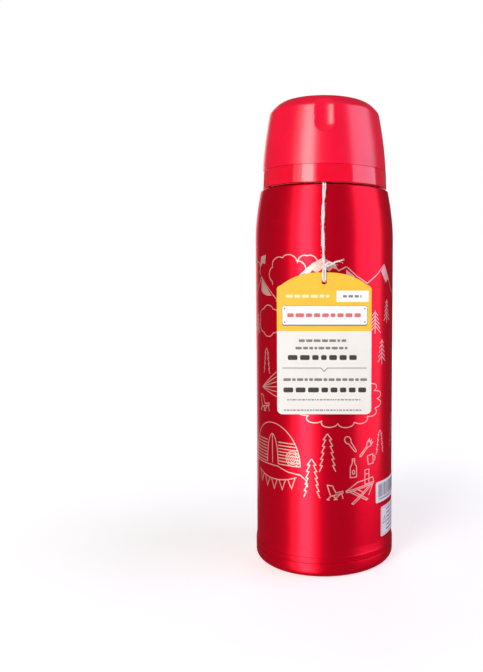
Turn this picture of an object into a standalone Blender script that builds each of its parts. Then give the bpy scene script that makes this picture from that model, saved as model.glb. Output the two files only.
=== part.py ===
"""Insulated water bottle: a vacuum bottle with a screw-on cup, a screw-in stopper and a hang tag.

Units are metres, +Z is up, and the origin is the centre of the ring the bottle stands on.
The front of the bottle, where the tag hangs, faces -Y.
"""
import bmesh
import bpy
import math
from mathutils import Matrix, Vector

MM = 0.001
SEGMENTS = 36            # facets round the large turned pieces
SMALL_SEGMENTS = 18      # facets round the small and the hidden turned pieces
GAP = 0.3                # clearance between touching pieces, mm

# ---- driving dimensions, mm ----
BODY_R = 44.5            # painted body
BASE_R = 45.1            # slightly wider band at the foot
BAND_BOTTOM_Z = 9.2      # seam between bottom cap and shell
BAND_TOP_Z = 13.0
SHELL_WALL = 0.7
SHOULDER_Z = 207.0       # where the straight body ends
SHOULDER_RISE = 29.0     # height over which the shoulder draws in
SHOULDER_DROP = 3.3      # how much the radius draws in over that height
LEDGE_Z = 237.1          # flat ledge under the cup
NECK_R = 33.75           # outside of the steel neck
LIP_Z = 253.3            # top of the mouth

FLASK_R = 40.5           # outside of the inner flask
FLASK_WALL = 0.6
FLASK_FLOOR_Z = 11.0
MOUTH_R = 31.7           # inside of the flask's neck

CUP_BOTTOM_Z = 238.4
CUP_RIM_R = 40.15        # glossy band, lower edge
CUP_BAND_Z = 249.1       # top of the glossy band
CUP_SIDE_R = 39.6        # satin cone, lower edge
CUP_CREASE_R, CUP_CREASE_Z = 35.1, 285.6
CUP_TOP_R, CUP_TOP_Z = 26.3, 292.15
CUP_WALL = 1.8
CUP_CEILING_Z = 290.2    # underside of the crown
LINER_R = 33.85          # inside of the bowl that is drunk from
LINER_WALL = 0.75
LINER_CEILING_Z = 288.9
RIM_BORE = 36.75         # inside of the glossy band
NOTCH_WIDTH = 12.0
NOTCH_DEPTH = 1.1
NOTCH_BOTTOM_Z = 268.7

CUP_LEAD = 5.0           # rise of the cup in one turn
STOPPER_LEAD = 4.0       # rise of the stopper in one turn
THREAD_CREST = 1.1       # height of the neck's rolled thread

GRIP_R = 33.25           # outside of the stopper's grip
GRIP_BOTTOM_Z = 253.7
GRIP_TOP_Z = 270.6
DECK_R, DECK_Z = 24.8, 284.4
GRIP_PANELS = 12
BUTTON_R = 10.0
FLANGE_R, FLANGE_Z = 11.4, 272.8   # foot of the button, which stays under the deck
STEM_R = 2.4
PLUG_R = 30.2
SEAT_Z = 234.0           # underside of the plug
SEAT_HOLE_R = 8.8
SPRING_LOW_Z, SPRING_TOP_Z = 257.8, 281.4

TAG_WIDTH, TAG_BOTTOM_Z, TAG_SIDE_Z, TAG_TOP_Z = 55.7, 101.0, 176.0, 185.0
TAG_HOLE_Z, TAG_HOLE_R = 179.4, 1.5
TAG_BACK_Y, TAG_THICKNESS = -45.9, 0.4
STRING_PIVOT = (0.0, -42.6, 236.6)
CORD_R = 0.35            # half the string's thickness

RED = (0.62, 0.005, 0.02)
STEEL = (0.62, 0.62, 0.61)
GREY = (0.72, 0.73, 0.75)
SILICONE = (0.82, 0.82, 0.80)


# ---- curves that shape the profiles ----
def shoulder_radius(z):
    """Outside radius of the shoulder, which eases in from the straight body."""
    return BODY_R - SHOULDER_DROP * max(0.0, (z - SHOULDER_Z) / SHOULDER_RISE) ** 1.75


def cup_radius(z):
    """Outside radius of the cup's satin cone above the glossy band."""
    share = max(0.0, (z - CUP_BAND_Z) / (CUP_CREASE_Z - CUP_BAND_Z))
    return CUP_SIDE_R - (CUP_SIDE_R - CUP_CREASE_R) * share ** 1.54


def cup_crown(r):
    """Height of the crown between the crease and the flat top."""
    share = max(0.0, (r - CUP_TOP_R) / (CUP_CREASE_R - CUP_TOP_R))
    return CUP_TOP_Z - (CUP_TOP_Z - CUP_CREASE_Z) * share ** 1.8


def steps(start, end, count):
    """count values from start to end, both included."""
    return [start + (end - start) * i / (count - 1) for i in range(count)]


def arc(centre_r, centre_z, radius, start_deg, end_deg, count):
    """Points on an arc in the (r, z) plane; 0 degrees points outwards, 90 up."""
    return [
        (centre_r + radius * math.cos(math.radians(a)), centre_z + radius * math.sin(math.radians(a)))
        for a in steps(start_deg, end_deg, count)
    ]


# ---- scene helpers ----
def clear_scene():
    """Remove every object, such as the default cube."""
    for obj in list(bpy.data.objects):
        bpy.data.objects.remove(obj, do_unlink=True)


def material(name, colour, roughness, metallic=0.0):
    """A Principled BSDF by name, made once."""
    mat = bpy.data.materials.get(name) or bpy.data.materials.new(name)
    mat.use_nodes = True
    shader = mat.node_tree.nodes["Principled BSDF"]
    shader.inputs["Base Color"].default_value = (*colour, 1.0)
    shader.inputs["Roughness"].default_value = roughness
    shader.inputs["Metallic"].default_value = metallic
    return mat


def add_object(name, bm, mat):
    """Turn a bmesh in millimetres into a smooth-shaded object in metres."""
    bmesh.ops.recalc_face_normals(bm, faces=bm.faces[:])
    mesh = bpy.data.meshes.new(name)
    bm.to_mesh(mesh)
    bm.free()
    mesh.transform(Matrix.Scale(MM, 4))
    mesh.shade_smooth()
    mesh.set_sharp_from_angle(angle=math.radians(35))
    mesh.materials.append(mat)
    obj = bpy.data.objects.new(name, mesh)
    bpy.context.scene.collection.objects.link(obj)
    return obj


def turned(profile, segments=SEGMENTS):
    """Spin an (r, z) outline round +Z. An outline that starts on the axis ends on it too."""
    bm = bmesh.new()
    verts = [bm.verts.new((r, 0.0, z)) for r, z in profile]
    edges = [bm.edges.new(pair) for pair in zip(verts, verts[1:])]
    if profile[0][0] > 0.0:
        edges.append(bm.edges.new((verts[-1], verts[0])))
    bmesh.ops.spin(
        bm, geom=verts + edges, cent=(0, 0, 0), axis=(0, 0, 1),
        angle=math.tau, steps=segments, use_merge=True,
    )
    bmesh.ops.remove_doubles(bm, verts=bm.verts[:], dist=1e-4)
    return bm


def helix_ridge(root_r, crest_r, start_z, lead, turns, root_half, crest_half):
    """A thread ridge of trapezoid section whose two ends sink back to the root.

    Its corners stand half a facet away from those of the turned wall it joins.
    """
    bm = bmesh.new()
    count = round(turns * SEGMENTS)
    rings = []
    for i in range(count + 1):
        turn = (i + 0.5) / SEGMENTS
        angle = math.tau * turn
        z = start_z + lead * turn
        ease = min(1.0, (min(i, count - i) + 0.35) / 3.0)
        crest = root_r + (crest_r - root_r) * ease
        section = ((root_r, -root_half), (crest, -crest_half), (crest, crest_half), (root_r, root_half))
        rings.append([
            bm.verts.new((r * math.cos(angle), r * math.sin(angle), z + dz)) for r, dz in section
        ])
    for a, b in zip(rings, rings[1:]):
        for k in range(4):
            bm.faces.new((a[k], a[(k + 1) % 4], b[(k + 1) % 4], b[k]))
    bm.faces.new(rings[0])
    bm.faces.new(rings[-1])
    return bm


def tube(points, radii, sides=8):
    """A round cord along a path in millimetres, closed at both ends."""
    bm = bmesh.new()
    path = [Vector(p) for p in points]
    side = Vector((1.0, 0.0, 0.0))
    rings = []
    for i, p in enumerate(path):
        along = (path[min(i + 1, len(path) - 1)] - path[max(i - 1, 0)]).normalized()
        side = (side - along * side.dot(along)).normalized()
        other = along.cross(side)
        rings.append([
            bm.verts.new(p + (side * math.cos(math.tau * k / sides)
                              + other * math.sin(math.tau * k / sides)) * radii[i])
            for k in range(sides)
        ])
    for a, b in zip(rings, rings[1:]):
        for k in range(sides):
            bm.faces.new((a[k], a[(k + 1) % sides], b[(k + 1) % sides], b[k]))
    bm.faces.new(rings[0])
    bm.faces.new(rings[-1])
    return bm


def boolean(obj, bm, operation):
    """Join a tool body to an object, or cut it away, with an exact Boolean modifier."""
    tool = add_object(f"{obj.name}_tool_{len(obj.modifiers)}", bm, obj.data.materials[0])
    tool.hide_render = True
    tool.display_type = "WIRE"
    modifier = obj.modifiers.new(operation.lower(), "BOOLEAN")
    modifier.operation = operation
    modifier.solver = "EXACT"
    modifier.object = tool
    return obj


def cylinder(radius, low, high, x=0.0, y=0.0, segments=SMALL_SEGMENTS):
    """An upright cylinder between two heights."""
    bm = bmesh.new()
    place = Matrix.Translation((x, y, (low + high) / 2))
    bmesh.ops.create_cone(
        bm, cap_ends=True, segments=segments, radius1=radius, radius2=radius,
        depth=high - low, matrix=place,
    )
    return bm


def box(size, centre):
    """A box of full sizes (x, y, z) round a centre."""
    bm = bmesh.new()
    bmesh.ops.create_cube(bm, size=1.0, matrix=Matrix.Translation(centre) @ Matrix.Diagonal((*size, 1.0)))
    return bm


def prism(outline, depth, place):
    """Extrude a flat (x, z) outline along +Y by depth, then move it into place."""
    bm = bmesh.new()
    face = bm.faces.new([bm.verts.new((x, 0.0, z)) for x, z in outline])
    grown = bmesh.ops.extrude_face_region(bm, geom=[face])
    moved = [v for v in grown["geom"] if isinstance(v, bmesh.types.BMVert)]
    bmesh.ops.translate(bm, verts=moved, vec=(0.0, depth, 0.0))
    bmesh.ops.transform(bm, matrix=place, verts=bm.verts[:])
    return bm


# ---- bottle ----
def outer_shell():
    """Painted outer vessel, with the shoulder, the ledge and the bare steel neck."""
    inner_r = BODY_R - SHELL_WALL
    neck_inner = NECK_R - SHELL_WALL
    neck_top = LIP_Z - 1.1
    shoulder_top = SHOULDER_Z + SHOULDER_RISE - 0.2
    shoulder = [(shoulder_radius(z), z) for z in steps(SHOULDER_Z + 6.0, shoulder_top, 5)]
    outline = [(BASE_R, BAND_BOTTOM_Z), (BASE_R, BAND_TOP_Z), (BODY_R, BAND_TOP_Z + 4.5),
               (BODY_R, SHOULDER_Z)]
    outline += shoulder
    outline += [(40.7, LEDGE_Z - 0.3), (40.2, LEDGE_Z), (NECK_R + 0.6, LEDGE_Z), (NECK_R, LEDGE_Z + 0.6)]
    outline += [(NECK_R, neck_top), (neck_inner, neck_top), (neck_inner, LEDGE_Z - 0.9),
                (39.4, LEDGE_Z - 0.9)]
    outline += [(r - SHELL_WALL, z - 0.3) for r, z in reversed(shoulder)]
    outline += [(inner_r, SHOULDER_Z), (inner_r, BAND_BOTTOM_Z)]
    obj = add_object("outer_shell", turned(outline), material("red_paint", RED, 0.28, 0.7))
    ridge = helix_ridge(NECK_R - GAP, NECK_R + THREAD_CREST, 243.0, CUP_LEAD, 1.2, 1.25, 0.45)
    return boolean(obj, ridge, "UNION")


def inner_flask():
    """Liquid flask: rounded floor, shoulder, gasket seat, neck with the inside thread, lip."""
    r, w, floor = FLASK_R, FLASK_WALL, FLASK_FLOOR_Z
    corner = 12.0
    lip_r, lip_sheet = NECK_R - 0.05, 0.7
    outline = [(0.0, floor)] + arc(r - corner, floor + corner, corner, -90, 0, 4)
    outline += [(r, SHOULDER_Z), (39.2, 217.0), (35.3, 226.0), (30.3, 231.6), (30.1, 233.9),
                (32.3, 236.1)]
    outline += [(MOUTH_R + w, LIP_Z - lip_sheet), (lip_r, LIP_Z - lip_sheet), (lip_r, LIP_Z),
                (MOUTH_R, LIP_Z)]
    outline += [(MOUTH_R, 236.7), (29.5, 234.4), (29.5, 231.3), (34.8, 225.4), (38.6, 216.7),
                (r - w, 206.7)]
    outline += arc(r - corner, floor + corner, corner - w, 0, -90, 4) + [(0.0, floor + w)]
    obj = add_object("inner_flask", turned(outline), material("flask_steel", STEEL, 0.3, 1.0))
    ridge = helix_ridge(MOUTH_R + GAP, MOUTH_R - 1.0, 243.5, STOPPER_LEAD, 1.5, 0.75, 0.35)
    return boolean(obj, ridge, "UNION")


def bottom_cap():
    """Outer bottom: the ring the bottle stands on, a joggle into the shell, a central recess."""
    wall = 0.9
    foot = 5.6
    joint_r = BODY_R - SHELL_WALL - GAP
    top = BAND_BOTTOM_Z - GAP
    outline = [(1.5, 5.0), (6.5, 5.0), (7.5, 3.2), (33.6, 3.2), (36.0, 0.0), (BASE_R - foot, 0.0)]
    outline += arc(BASE_R - foot, foot, foot, -55, 0, 3)
    outline += [(BASE_R, top), (joint_r, top), (joint_r, top + 4.5), (joint_r - wall, top + 4.5)]
    outline += [(joint_r - wall, 6.0), (39.6, 1.4), (36.6, 1.4), (34.2, 3.2 + wall), (8.0, 3.2 + wall),
                (7.0, 5.0 + wall), (1.5, 5.0 + wall)]
    return add_object("bottom_cap", turned(outline), material("bottom_paint", RED, 0.3, 0.7))


def base_disc():
    """Thin disc let into the recess of the outer bottom."""
    disc_r, low, high = 32.2, 2.0, 2.8
    outline = [(0.0, low), (disc_r - 0.6, low), (disc_r, low + 0.3), (disc_r, high), (0.0, high)]
    disc = turned(outline, SMALL_SEGMENTS)
    return add_object("base_disc", disc, material("base_disc_steel", STEEL, 0.35, 1.0))


def seal_bead():
    """Solder bead that closes the hole the vacuum is drawn through."""
    outline = [(0.0, 3.3), (3.0, 3.5), (3.6, 4.3), (1.1, 4.6), (1.1, 5.7), (0.0, 5.7)]
    return add_object("seal_bead", turned(outline, 12), material("solder", (0.45, 0.45, 0.43), 0.4, 1.0))


def radiation_foil():
    """Copper foil sleeve round the inner flask, inside the vacuum."""
    low, high = 26.0, 200.0
    inside, outside = FLASK_R + 0.6, FLASK_R + 0.9
    outline = [(inside, low), (outside, low), (outside, high), (inside, high)]
    return add_object("radiation_foil", turned(outline), material("foil", (0.85, 0.5, 0.3), 0.25, 1.0))


def getter():
    """Gas-absorbing pellet and the spring-steel clip that holds it under the flask."""
    offset = 15.0
    pellet_r, low, high = 4.0, 6.9, 9.3
    pellet = cylinder(pellet_r, low, high, x=offset)
    add_object("getter_pellet", pellet, material("getter_grey", (0.2, 0.2, 0.2), 0.8, 0.3))
    inside, sheet, lip = pellet_r + 0.4, 0.4, 1.6
    top = FLASK_FLOOR_Z - GAP
    foot = low - GAP
    outline = [
        (-inside - sheet, top), (-inside - sheet, foot - sheet), (-inside + lip, foot - sheet),
        (-inside + lip, foot), (-inside, foot), (-inside, top - sheet), (inside, top - sheet),
        (inside, foot), (inside - lip, foot), (inside - lip, foot - sheet),
        (inside + sheet, foot - sheet), (inside + sheet, top),
    ]
    clip = prism(outline, 5.0, Matrix.Translation((offset, -2.5, 0.0)))
    add_object("getter_clip", clip, material("clip_steel", STEEL, 0.4, 1.0))


def label(name, low, high, start_deg, end_deg):
    """A thin sticker that follows the body; angles run from the front towards +X."""
    bm = bmesh.new()
    inner, outer = BODY_R + GAP, BODY_R + GAP + 0.15
    count = 9
    rings = []
    for angle in (math.radians(a) for a in steps(start_deg, end_deg, count)):
        x, y = math.sin(angle), -math.cos(angle)
        corners = ((inner, low), (outer, low), (outer, high), (inner, high))
        rings.append([bm.verts.new((r * x, r * y, z)) for r, z in corners])
    for a, b in zip(rings, rings[1:]):
        for k in range(4):
            bm.faces.new((a[k], a[(k + 1) % 4], b[(k + 1) % 4], b[k]))
    bm.faces.new(rings[0])
    bm.faces.new(rings[-1])
    return add_object(name, bm, material("label_film", (0.85, 0.86, 0.88), 0.4))


def string_loop():
    """The string round the neck, in the slit between the ledge and the cup's rim."""
    radius, height = 35.9, LEDGE_Z + 0.65
    half = 2 * CORD_R
    spread = math.asin(half / radius)
    front = [(-41.9, height - 0.05), (-40.2, height), (-38.0, height)]
    points = [(half, y, z) for y, z in front]
    points += [(radius * math.sin(a), -radius * math.cos(a), height)
               for a in steps(spread, math.tau - spread, SEGMENTS)]
    points += [(-half, y, z) for y, z in reversed(front)]
    cord_radii = [CORD_R] * len(points)
    return add_object("string_loop", tube(points, cord_radii, 6), material("cotton", (0.9, 0.88, 0.85), 0.9))


# ---- cup ----
def cup_rim():
    """Glossy band at the cup's mouth. Its inside thread sits under the neck's ridge."""
    bore = RIM_BORE
    spigot_r, spigot_z = 37.3, 253.2
    outline = [(bore, CUP_BOTTOM_Z + 0.4), (bore + 0.5, CUP_BOTTOM_Z), (CUP_RIM_R - 0.5, CUP_BOTTOM_Z),
               (CUP_RIM_R, CUP_BOTTOM_Z + 0.5), (CUP_RIM_R - 0.4, CUP_BAND_Z - GAP),
               (CUP_RIM_R - 0.7, CUP_BAND_Z), (spigot_r, CUP_BAND_Z), (spigot_r, spigot_z),
               (bore - GAP, spigot_z), (bore - GAP, CUP_BAND_Z + GAP)]
    obj = add_object("cup_rim", turned(outline), material("cup_band_red", RED, 0.12, 0.35))
    ridge = helix_ridge(bore + 0.2, NECK_R + 0.4, 241.7, CUP_LEAD, 1.0, 1.05, 0.35)
    return boolean(obj, ridge, "UNION")


def cup_cover():
    """Satin outer cup: cone, crease and crown, with the U-shaped recess at the front."""
    low = CUP_BAND_Z + GAP
    side = [(cup_radius(z), z) for z in steps(low, CUP_CREASE_Z, 6)]
    crown = [(r, cup_crown(r)) for r in steps(CUP_CREASE_R - 2.0, CUP_TOP_R, 4)]
    ceiling = [(0.0, CUP_CEILING_Z), (26.5, CUP_CEILING_Z), (29.2, 289.4), (32.4, 286.6), (33.7, 284.2)]
    inside = [(r - CUP_WALL, z) for r, z in reversed(side[:-1])]
    outline = ceiling + inside + side + crown + [(0.0, CUP_TOP_Z)]
    obj = add_object("cup_cover", turned(outline), material("cup_satin_red", RED, 0.4, 0.6))
    return boolean(obj, notch_cutter(), "DIFFERENCE")


def notch_cutter():
    """A round-bottomed slab, tilted with the cone, that leaves a recess of even depth."""
    half = NOTCH_WIDTH / 2
    height = 30.0
    outline = [(half * math.cos(a), half + half * math.sin(a))
               for a in (math.radians(d) for d in steps(180, 360, 13))]
    outline += [(half, height), (-half, height)]
    reach = 8.0
    lean = math.atan2(cup_radius(NOTCH_BOTTOM_Z) - cup_radius(CUP_CREASE_Z), CUP_CREASE_Z - NOTCH_BOTTOM_Z)
    floor_y = -(cup_radius(NOTCH_BOTTOM_Z) - NOTCH_DEPTH)
    place = Matrix.Translation((0.0, floor_y, NOTCH_BOTTOM_Z)) @ Matrix.Rotation(-lean, 4, "X")
    return prism(outline, reach, place @ Matrix.Translation((0.0, -reach, 0.0)))


def cup_liner():
    """The bowl that is drunk from. It leaves room for the stopper underneath."""
    inner, wall = LINER_R, LINER_WALL
    ceiling = LINER_CEILING_Z
    bowl = [(inner, 254.0), (inner, 276.0), (32.9, 281.0), (30.6, 286.0), (25.6, ceiling)]
    outline = [(0.0, ceiling)] + bowl[::-1]
    outline += [(36.1, 253.7), (36.1, 254.5), (inner + wall, 254.9), (inner + wall, 276.2), (33.6, 281.3),
                (31.2, 286.5), (26.0, ceiling + wall), (0.0, ceiling + wall)]
    return add_object("cup_liner", turned(outline), material("liner_grey", GREY, 0.3))


def cup_insulation():
    """Foam collar between the liner and the cover."""
    low, high = 260.6, 267.6
    bore = LINER_R + LINER_WALL + GAP
    clear = CUP_WALL + GAP
    outline = [(bore, low), (cup_radius(low) - clear, low), (cup_radius(high) - clear, high), (bore, high)]
    return add_object("cup_insulation", turned(outline), material("foam", (0.9, 0.9, 0.88), 0.95))


# ---- stopper ----
def stopper_cap():
    """Grey grip with recessed panels, a sloping shoulder, the deck, button hole and pouring slot."""
    wall = 1.5
    deck_wall = 2.0
    hole = BUTTON_R + 0.4
    outline = [(hole, DECK_Z - deck_wall), (hole, DECK_Z), (DECK_R - 0.6, DECK_Z), (DECK_R, DECK_Z - 0.5),
               (GRIP_R - 0.6, GRIP_TOP_Z + 0.4), (GRIP_R, GRIP_TOP_Z - 0.6), (GRIP_R, 268.6), (GRIP_R, 256.2),
               (GRIP_R, GRIP_BOTTOM_Z + 0.4), (GRIP_R - 0.4, GRIP_BOTTOM_Z), (GRIP_R - wall, GRIP_BOTTOM_Z),
               (GRIP_R - wall, GRIP_TOP_Z - 1.6), (DECK_R - 0.9, DECK_Z - deck_wall)]
    bm = turned(outline)
    panel_width = SEGMENTS // GRIP_PANELS
    for panel in range(GRIP_PANELS):
        faces = [f for f in bm.faces if in_grip_panel(f, panel, panel_width)]
        bmesh.ops.inset_region(bm, faces=faces, thickness=0.5, depth=-0.7, use_even_offset=True)
    obj = add_object("stopper_cap", bm, material("stopper_grey", GREY, 0.35))
    obj = boolean(obj, box((20.0, 8.0, 3.0), (0.0, -25.5, DECK_Z - 2.9)), "DIFFERENCE")
    return boolean(obj, box((5.0, 8.0, 1.8), (0.0, 26.5, DECK_Z - 4.0)), "DIFFERENCE")


def in_grip_panel(face, panel, panel_width):
    """Whether a face of the grip lies in one of the recessed panels, three facets wide."""
    centre = face.calc_center_median()
    radius = math.hypot(centre.x, centre.y)
    if radius < GRIP_R - 0.4 or not 256.5 < centre.z < 268.3:
        return False
    facet = int(math.degrees(math.atan2(centre.y, centre.x)) % 360 // (360 / SEGMENTS))
    return facet // panel_width == panel and facet % panel_width != panel_width - 1


def stopper_plug():
    """Hollow plug with the outside thread, an open top and the valve seat in its floor."""
    core, wall = PLUG_R, 1.4
    top = GRIP_BOTTOM_Z - 0.1
    outline = [(SEAT_HOLE_R, SEAT_Z), (27.6, SEAT_Z), (28.4, SEAT_Z + 0.8), (28.4, 238.9), (core, 239.7),
               (core, top), (31.4, top + 0.5), (31.4, top + 1.3), (core - wall, top + 1.3),
               (core - wall, 240.2), (27.0, 238.9), (27.0, SEAT_Z + 1.5), (SEAT_HOLE_R, SEAT_Z + 1.5)]
    obj = add_object("stopper_plug", turned(outline), material("plug_grey", GREY, 0.35))
    ridge = helix_ridge(core - 0.3, core + 1.05, 241.5, STOPPER_LEAD, 1.25, 0.8, 0.35)
    return boolean(obj, ridge, "UNION")


def stopper_gasket():
    """Silicone ring round the plug's foot, just above the seat in the flask's neck."""
    outline = [(28.75, 236.1), (29.4, 235.2), (30.0, 235.4), (31.1, 237.2), (31.1, 238.2), (28.75, 238.6)]
    return add_object("stopper_gasket", turned(outline), material("gasket_silicone", SILICONE, 0.5))


def stopper_foam():
    """Foam ring inside the hollow plug."""
    inside, outside, low, high = 11.0, 28.0, 240.6, 253.2
    outline = [(inside, low), (outside, low), (outside, high), (inside, high)]
    foam = turned(outline, SMALL_SEGMENTS)
    return add_object("stopper_foam", foam, material("foam", (0.9, 0.9, 0.88), 0.95))


def valve_guide():
    """Plate with flow holes. Its tube guides the valve stem and its rim carries the spring."""
    low = 255.4
    tube_r, bore = 4.3, STEM_R + 0.4
    outline = [(bore, 241.0), (tube_r, 241.0), (tube_r, low), (31.3, low), (31.3, low + 1.5),
               (tube_r, low + 1.5), (tube_r, low + 3.5), (bore, low + 3.5)]
    obj = add_object("valve_guide", turned(outline), material("guide_grey", GREY, 0.4))
    for k in range(4):
        angle = math.radians(45 + 90 * k)
        hole = cylinder(3.2, low - 1, low + 3, 16.0 * math.cos(angle), 16.0 * math.sin(angle), 12)
        boolean(obj, hole, "DIFFERENCE")
    return obj


# ---- push button and pouring valve ----
def push_button():
    """Cap-shaped button. Its foot flange stays under the deck."""
    top = DECK_Z - 0.1
    wall, socket_r, socket_z = 1.2, 3.9, 279.4
    flange_top = FLANGE_Z + wall
    inside = BUTTON_R - wall
    ceiling = top - 1.8
    outline = [(0.0, top), (BUTTON_R - 0.9, top), (BUTTON_R, top - 0.9), (BUTTON_R, flange_top),
               (FLANGE_R, flange_top), (FLANGE_R, FLANGE_Z), (inside, FLANGE_Z), (inside, ceiling),
               (socket_r, ceiling), (socket_r, socket_z), (STEM_R + GAP, socket_z),
               (STEM_R + GAP, ceiling - 0.2), (0.0, ceiling - 0.2)]
    return add_object("push_button", turned(outline, SMALL_SEGMENTS), material("button_grey", GREY, 0.3))


def valve_stem():
    """Rod from the button down to a foot that carries the valve disc."""
    top = DECK_Z - 2.4
    outline = [(0.0, 229.2), (4.4, 229.2), (4.4, 230.2), (STEM_R, 230.2), (STEM_R, top), (0.0, top)]
    return add_object("valve_stem", turned(outline, SMALL_SEGMENTS), material("stem_steel", STEEL, 0.3, 1.0))


def valve_disc():
    """Disc that closes the hole in the plug's floor from below."""
    outline = [(STEM_R + GAP, 230.5), (10.8, 230.5), (11.4, 231.0), (11.4, 231.9), (STEM_R + GAP, 231.9)]
    return add_object("valve_disc", turned(outline, SMALL_SEGMENTS), material("valve_white", GREY, 0.4))


def valve_gasket():
    """Silicone ring on the disc's rim."""
    outline = [(9.3, 232.2), (11.2, 232.2), (11.2, 233.1), (10.4, 233.7), (9.3, 233.4)]
    return add_object("valve_gasket", turned(outline, SMALL_SEGMENTS),
                      material("gasket_silicone", SILICONE, 0.5))


def valve_spring():
    """Coil between the guide's plate and the inside of the button's top."""
    wire, coil_r = 0.45, 6.6
    low, high = SPRING_LOW_Z, SPRING_TOP_Z
    turns, per_turn = 6, 10
    count = turns * per_turn
    points = []
    for i in range(count + 1):
        angle = math.tau * i / per_turn
        points.append((coil_r * math.cos(angle), coil_r * math.sin(angle), low + (high - low) * i / count))
    wires = [wire] * len(points)
    return add_object("valve_spring", tube(points, wires, 5), material("spring_steel", STEEL, 0.3, 1.0))


# ---- tag ----
def hang_tag():
    """Card with rounded lower corners, an arched top and a punched hole."""
    half, corner = TAG_WIDTH / 2, 3.0
    rise = TAG_TOP_Z - TAG_SIDE_Z
    outline = [(-half + corner + corner * math.cos(a), TAG_BOTTOM_Z + corner + corner * math.sin(a))
               for a in (math.radians(d) for d in steps(180, 270, 4))]
    outline += [(-x, z) for x, z in reversed(outline)]
    outline += [(half * math.sin(s), TAG_SIDE_Z + rise * math.cos(s) ** 0.9)
                for s in (math.radians(d) for d in steps(89.9, -89.9, 15))]
    card = prism(outline, TAG_THICKNESS, Matrix.Translation((0.0, TAG_BACK_Y - TAG_THICKNESS, 0.0)))
    obj = add_object("hang_tag", card, material("tag_card", (0.86, 0.84, 0.74), 0.6))
    punch = [(TAG_HOLE_R * math.cos(a), TAG_HOLE_Z + TAG_HOLE_R * math.sin(a))
             for a in (math.tau * k / 16 for k in range(16))]
    return boolean(obj, prism(punch, 4.0, Matrix.Translation((0.0, TAG_BACK_Y - 2.0, 0.0))), "DIFFERENCE")


def tag_string():
    """Hanging string: from the slit down the shoulder, a knot, then through the tag's hole."""
    cord, knot = 0.42, 0.95
    x, y, z = STRING_PIVOT
    front = TAG_BACK_Y - TAG_THICKNESS - cord - GAP
    points = [(x, y, z)]
    points += [(0.0, -max(-y, shoulder_radius(s) + 0.95), s) for s in steps(z - 4.0, SHOULDER_Z, 7)]
    points += [(0.0, -BODY_R - 0.95, 196.0), (0.0, front + 0.4, 191.4), (0.0, front, 189.6),
               (0.0, front, 188.4), (0.0, front, 186.8), (0.0, front, 180.6), (0.0, front + 0.25, 179.6),
               (0.0, front + 0.75, 179.3), (0.0, TAG_BACK_Y + 0.3, 179.3)]
    radii = [cord] * len(points)
    radii[-7] = radii[-6] = knot
    return add_object("tag_string", tube(points, radii, 8), material("cotton", (0.9, 0.88, 0.85), 0.9))


# ---- joint axes ----
def place_on_axes():
    """Set each moving piece's origin on its joint's axis, leaving its shape where it is."""
    axis = Vector((0.0, 0.0, 0.0))
    pivot = Vector(STRING_PIVOT) * MM
    for name, point, pieces in (
        ("cup_axis", axis, ("cup_cover", "cup_rim", "cup_liner", "cup_insulation")),
        ("stopper_axis", axis, ("stopper_cap", "stopper_plug", "stopper_gasket", "stopper_foam",
                                "valve_guide", "valve_spring")),
        ("button_axis", axis, ("push_button", "valve_stem", "valve_disc", "valve_gasket")),
        ("tag_axis", pivot, ("hang_tag", "tag_string")),
    ):
        guide = bpy.data.objects.new(name, None)
        guide.location = point
        bpy.context.scene.collection.objects.link(guide)
        for piece in pieces:
            obj = bpy.data.objects[piece]
            obj.data.transform(Matrix.Translation(-point))
            obj.parent = guide
            for modifier in obj.modifiers:
                modifier.object.data.transform(Matrix.Translation(-point))
                modifier.object.parent = guide


def build():
    clear_scene()
    outer_shell()
    inner_flask()
    bottom_cap()
    base_disc()
    seal_bead()
    radiation_foil()
    getter()
    label("barcode_label", 41.8, 55.0, 46.0, 94.0)
    label("care_label", 19.2, 38.3, 53.0, 93.0)
    string_loop()
    cup_rim()
    cup_cover()
    cup_liner()
    cup_insulation()
    stopper_cap()
    stopper_plug()
    stopper_gasket()
    stopper_foam()
    valve_guide()
    push_button()
    valve_stem()
    valve_disc()
    valve_gasket()
    valve_spring()
    hang_tag()
    tag_string()
    place_on_axes()


build()
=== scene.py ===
"""The looks of an insulated water bottle, built round its CAD frame.

Lengths are in millimetres in the frame's axes (+Z up, -Y to the front) and become metres
where a mesh is made. Places round the bottle are angles from the front towards +X.
"""

import random
from math import asin, atan2, ceil, cos, pi, radians, sin, sqrt, tan

import bmesh
import bpy
import numpy as np
from mathutils import Matrix, Vector


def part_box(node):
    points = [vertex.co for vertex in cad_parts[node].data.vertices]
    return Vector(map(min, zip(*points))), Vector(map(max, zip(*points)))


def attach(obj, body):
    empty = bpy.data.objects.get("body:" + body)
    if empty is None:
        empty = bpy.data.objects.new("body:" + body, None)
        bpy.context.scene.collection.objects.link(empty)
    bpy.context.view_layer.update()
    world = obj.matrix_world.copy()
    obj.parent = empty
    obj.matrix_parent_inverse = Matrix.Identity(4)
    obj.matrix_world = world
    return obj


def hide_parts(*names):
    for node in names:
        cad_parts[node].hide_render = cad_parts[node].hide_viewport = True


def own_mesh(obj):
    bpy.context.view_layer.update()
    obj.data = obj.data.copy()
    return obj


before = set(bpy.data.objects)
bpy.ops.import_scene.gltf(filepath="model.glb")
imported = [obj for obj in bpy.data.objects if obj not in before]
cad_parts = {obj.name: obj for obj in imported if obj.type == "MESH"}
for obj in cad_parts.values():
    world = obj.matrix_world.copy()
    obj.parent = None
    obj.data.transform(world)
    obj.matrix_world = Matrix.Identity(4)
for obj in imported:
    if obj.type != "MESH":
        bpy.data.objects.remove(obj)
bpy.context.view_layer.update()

MM = 0.001
TAU = 2 * pi
FINE = 192
FILLET_STEPS = 6
SHARP_ANGLE = radians(38)


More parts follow.
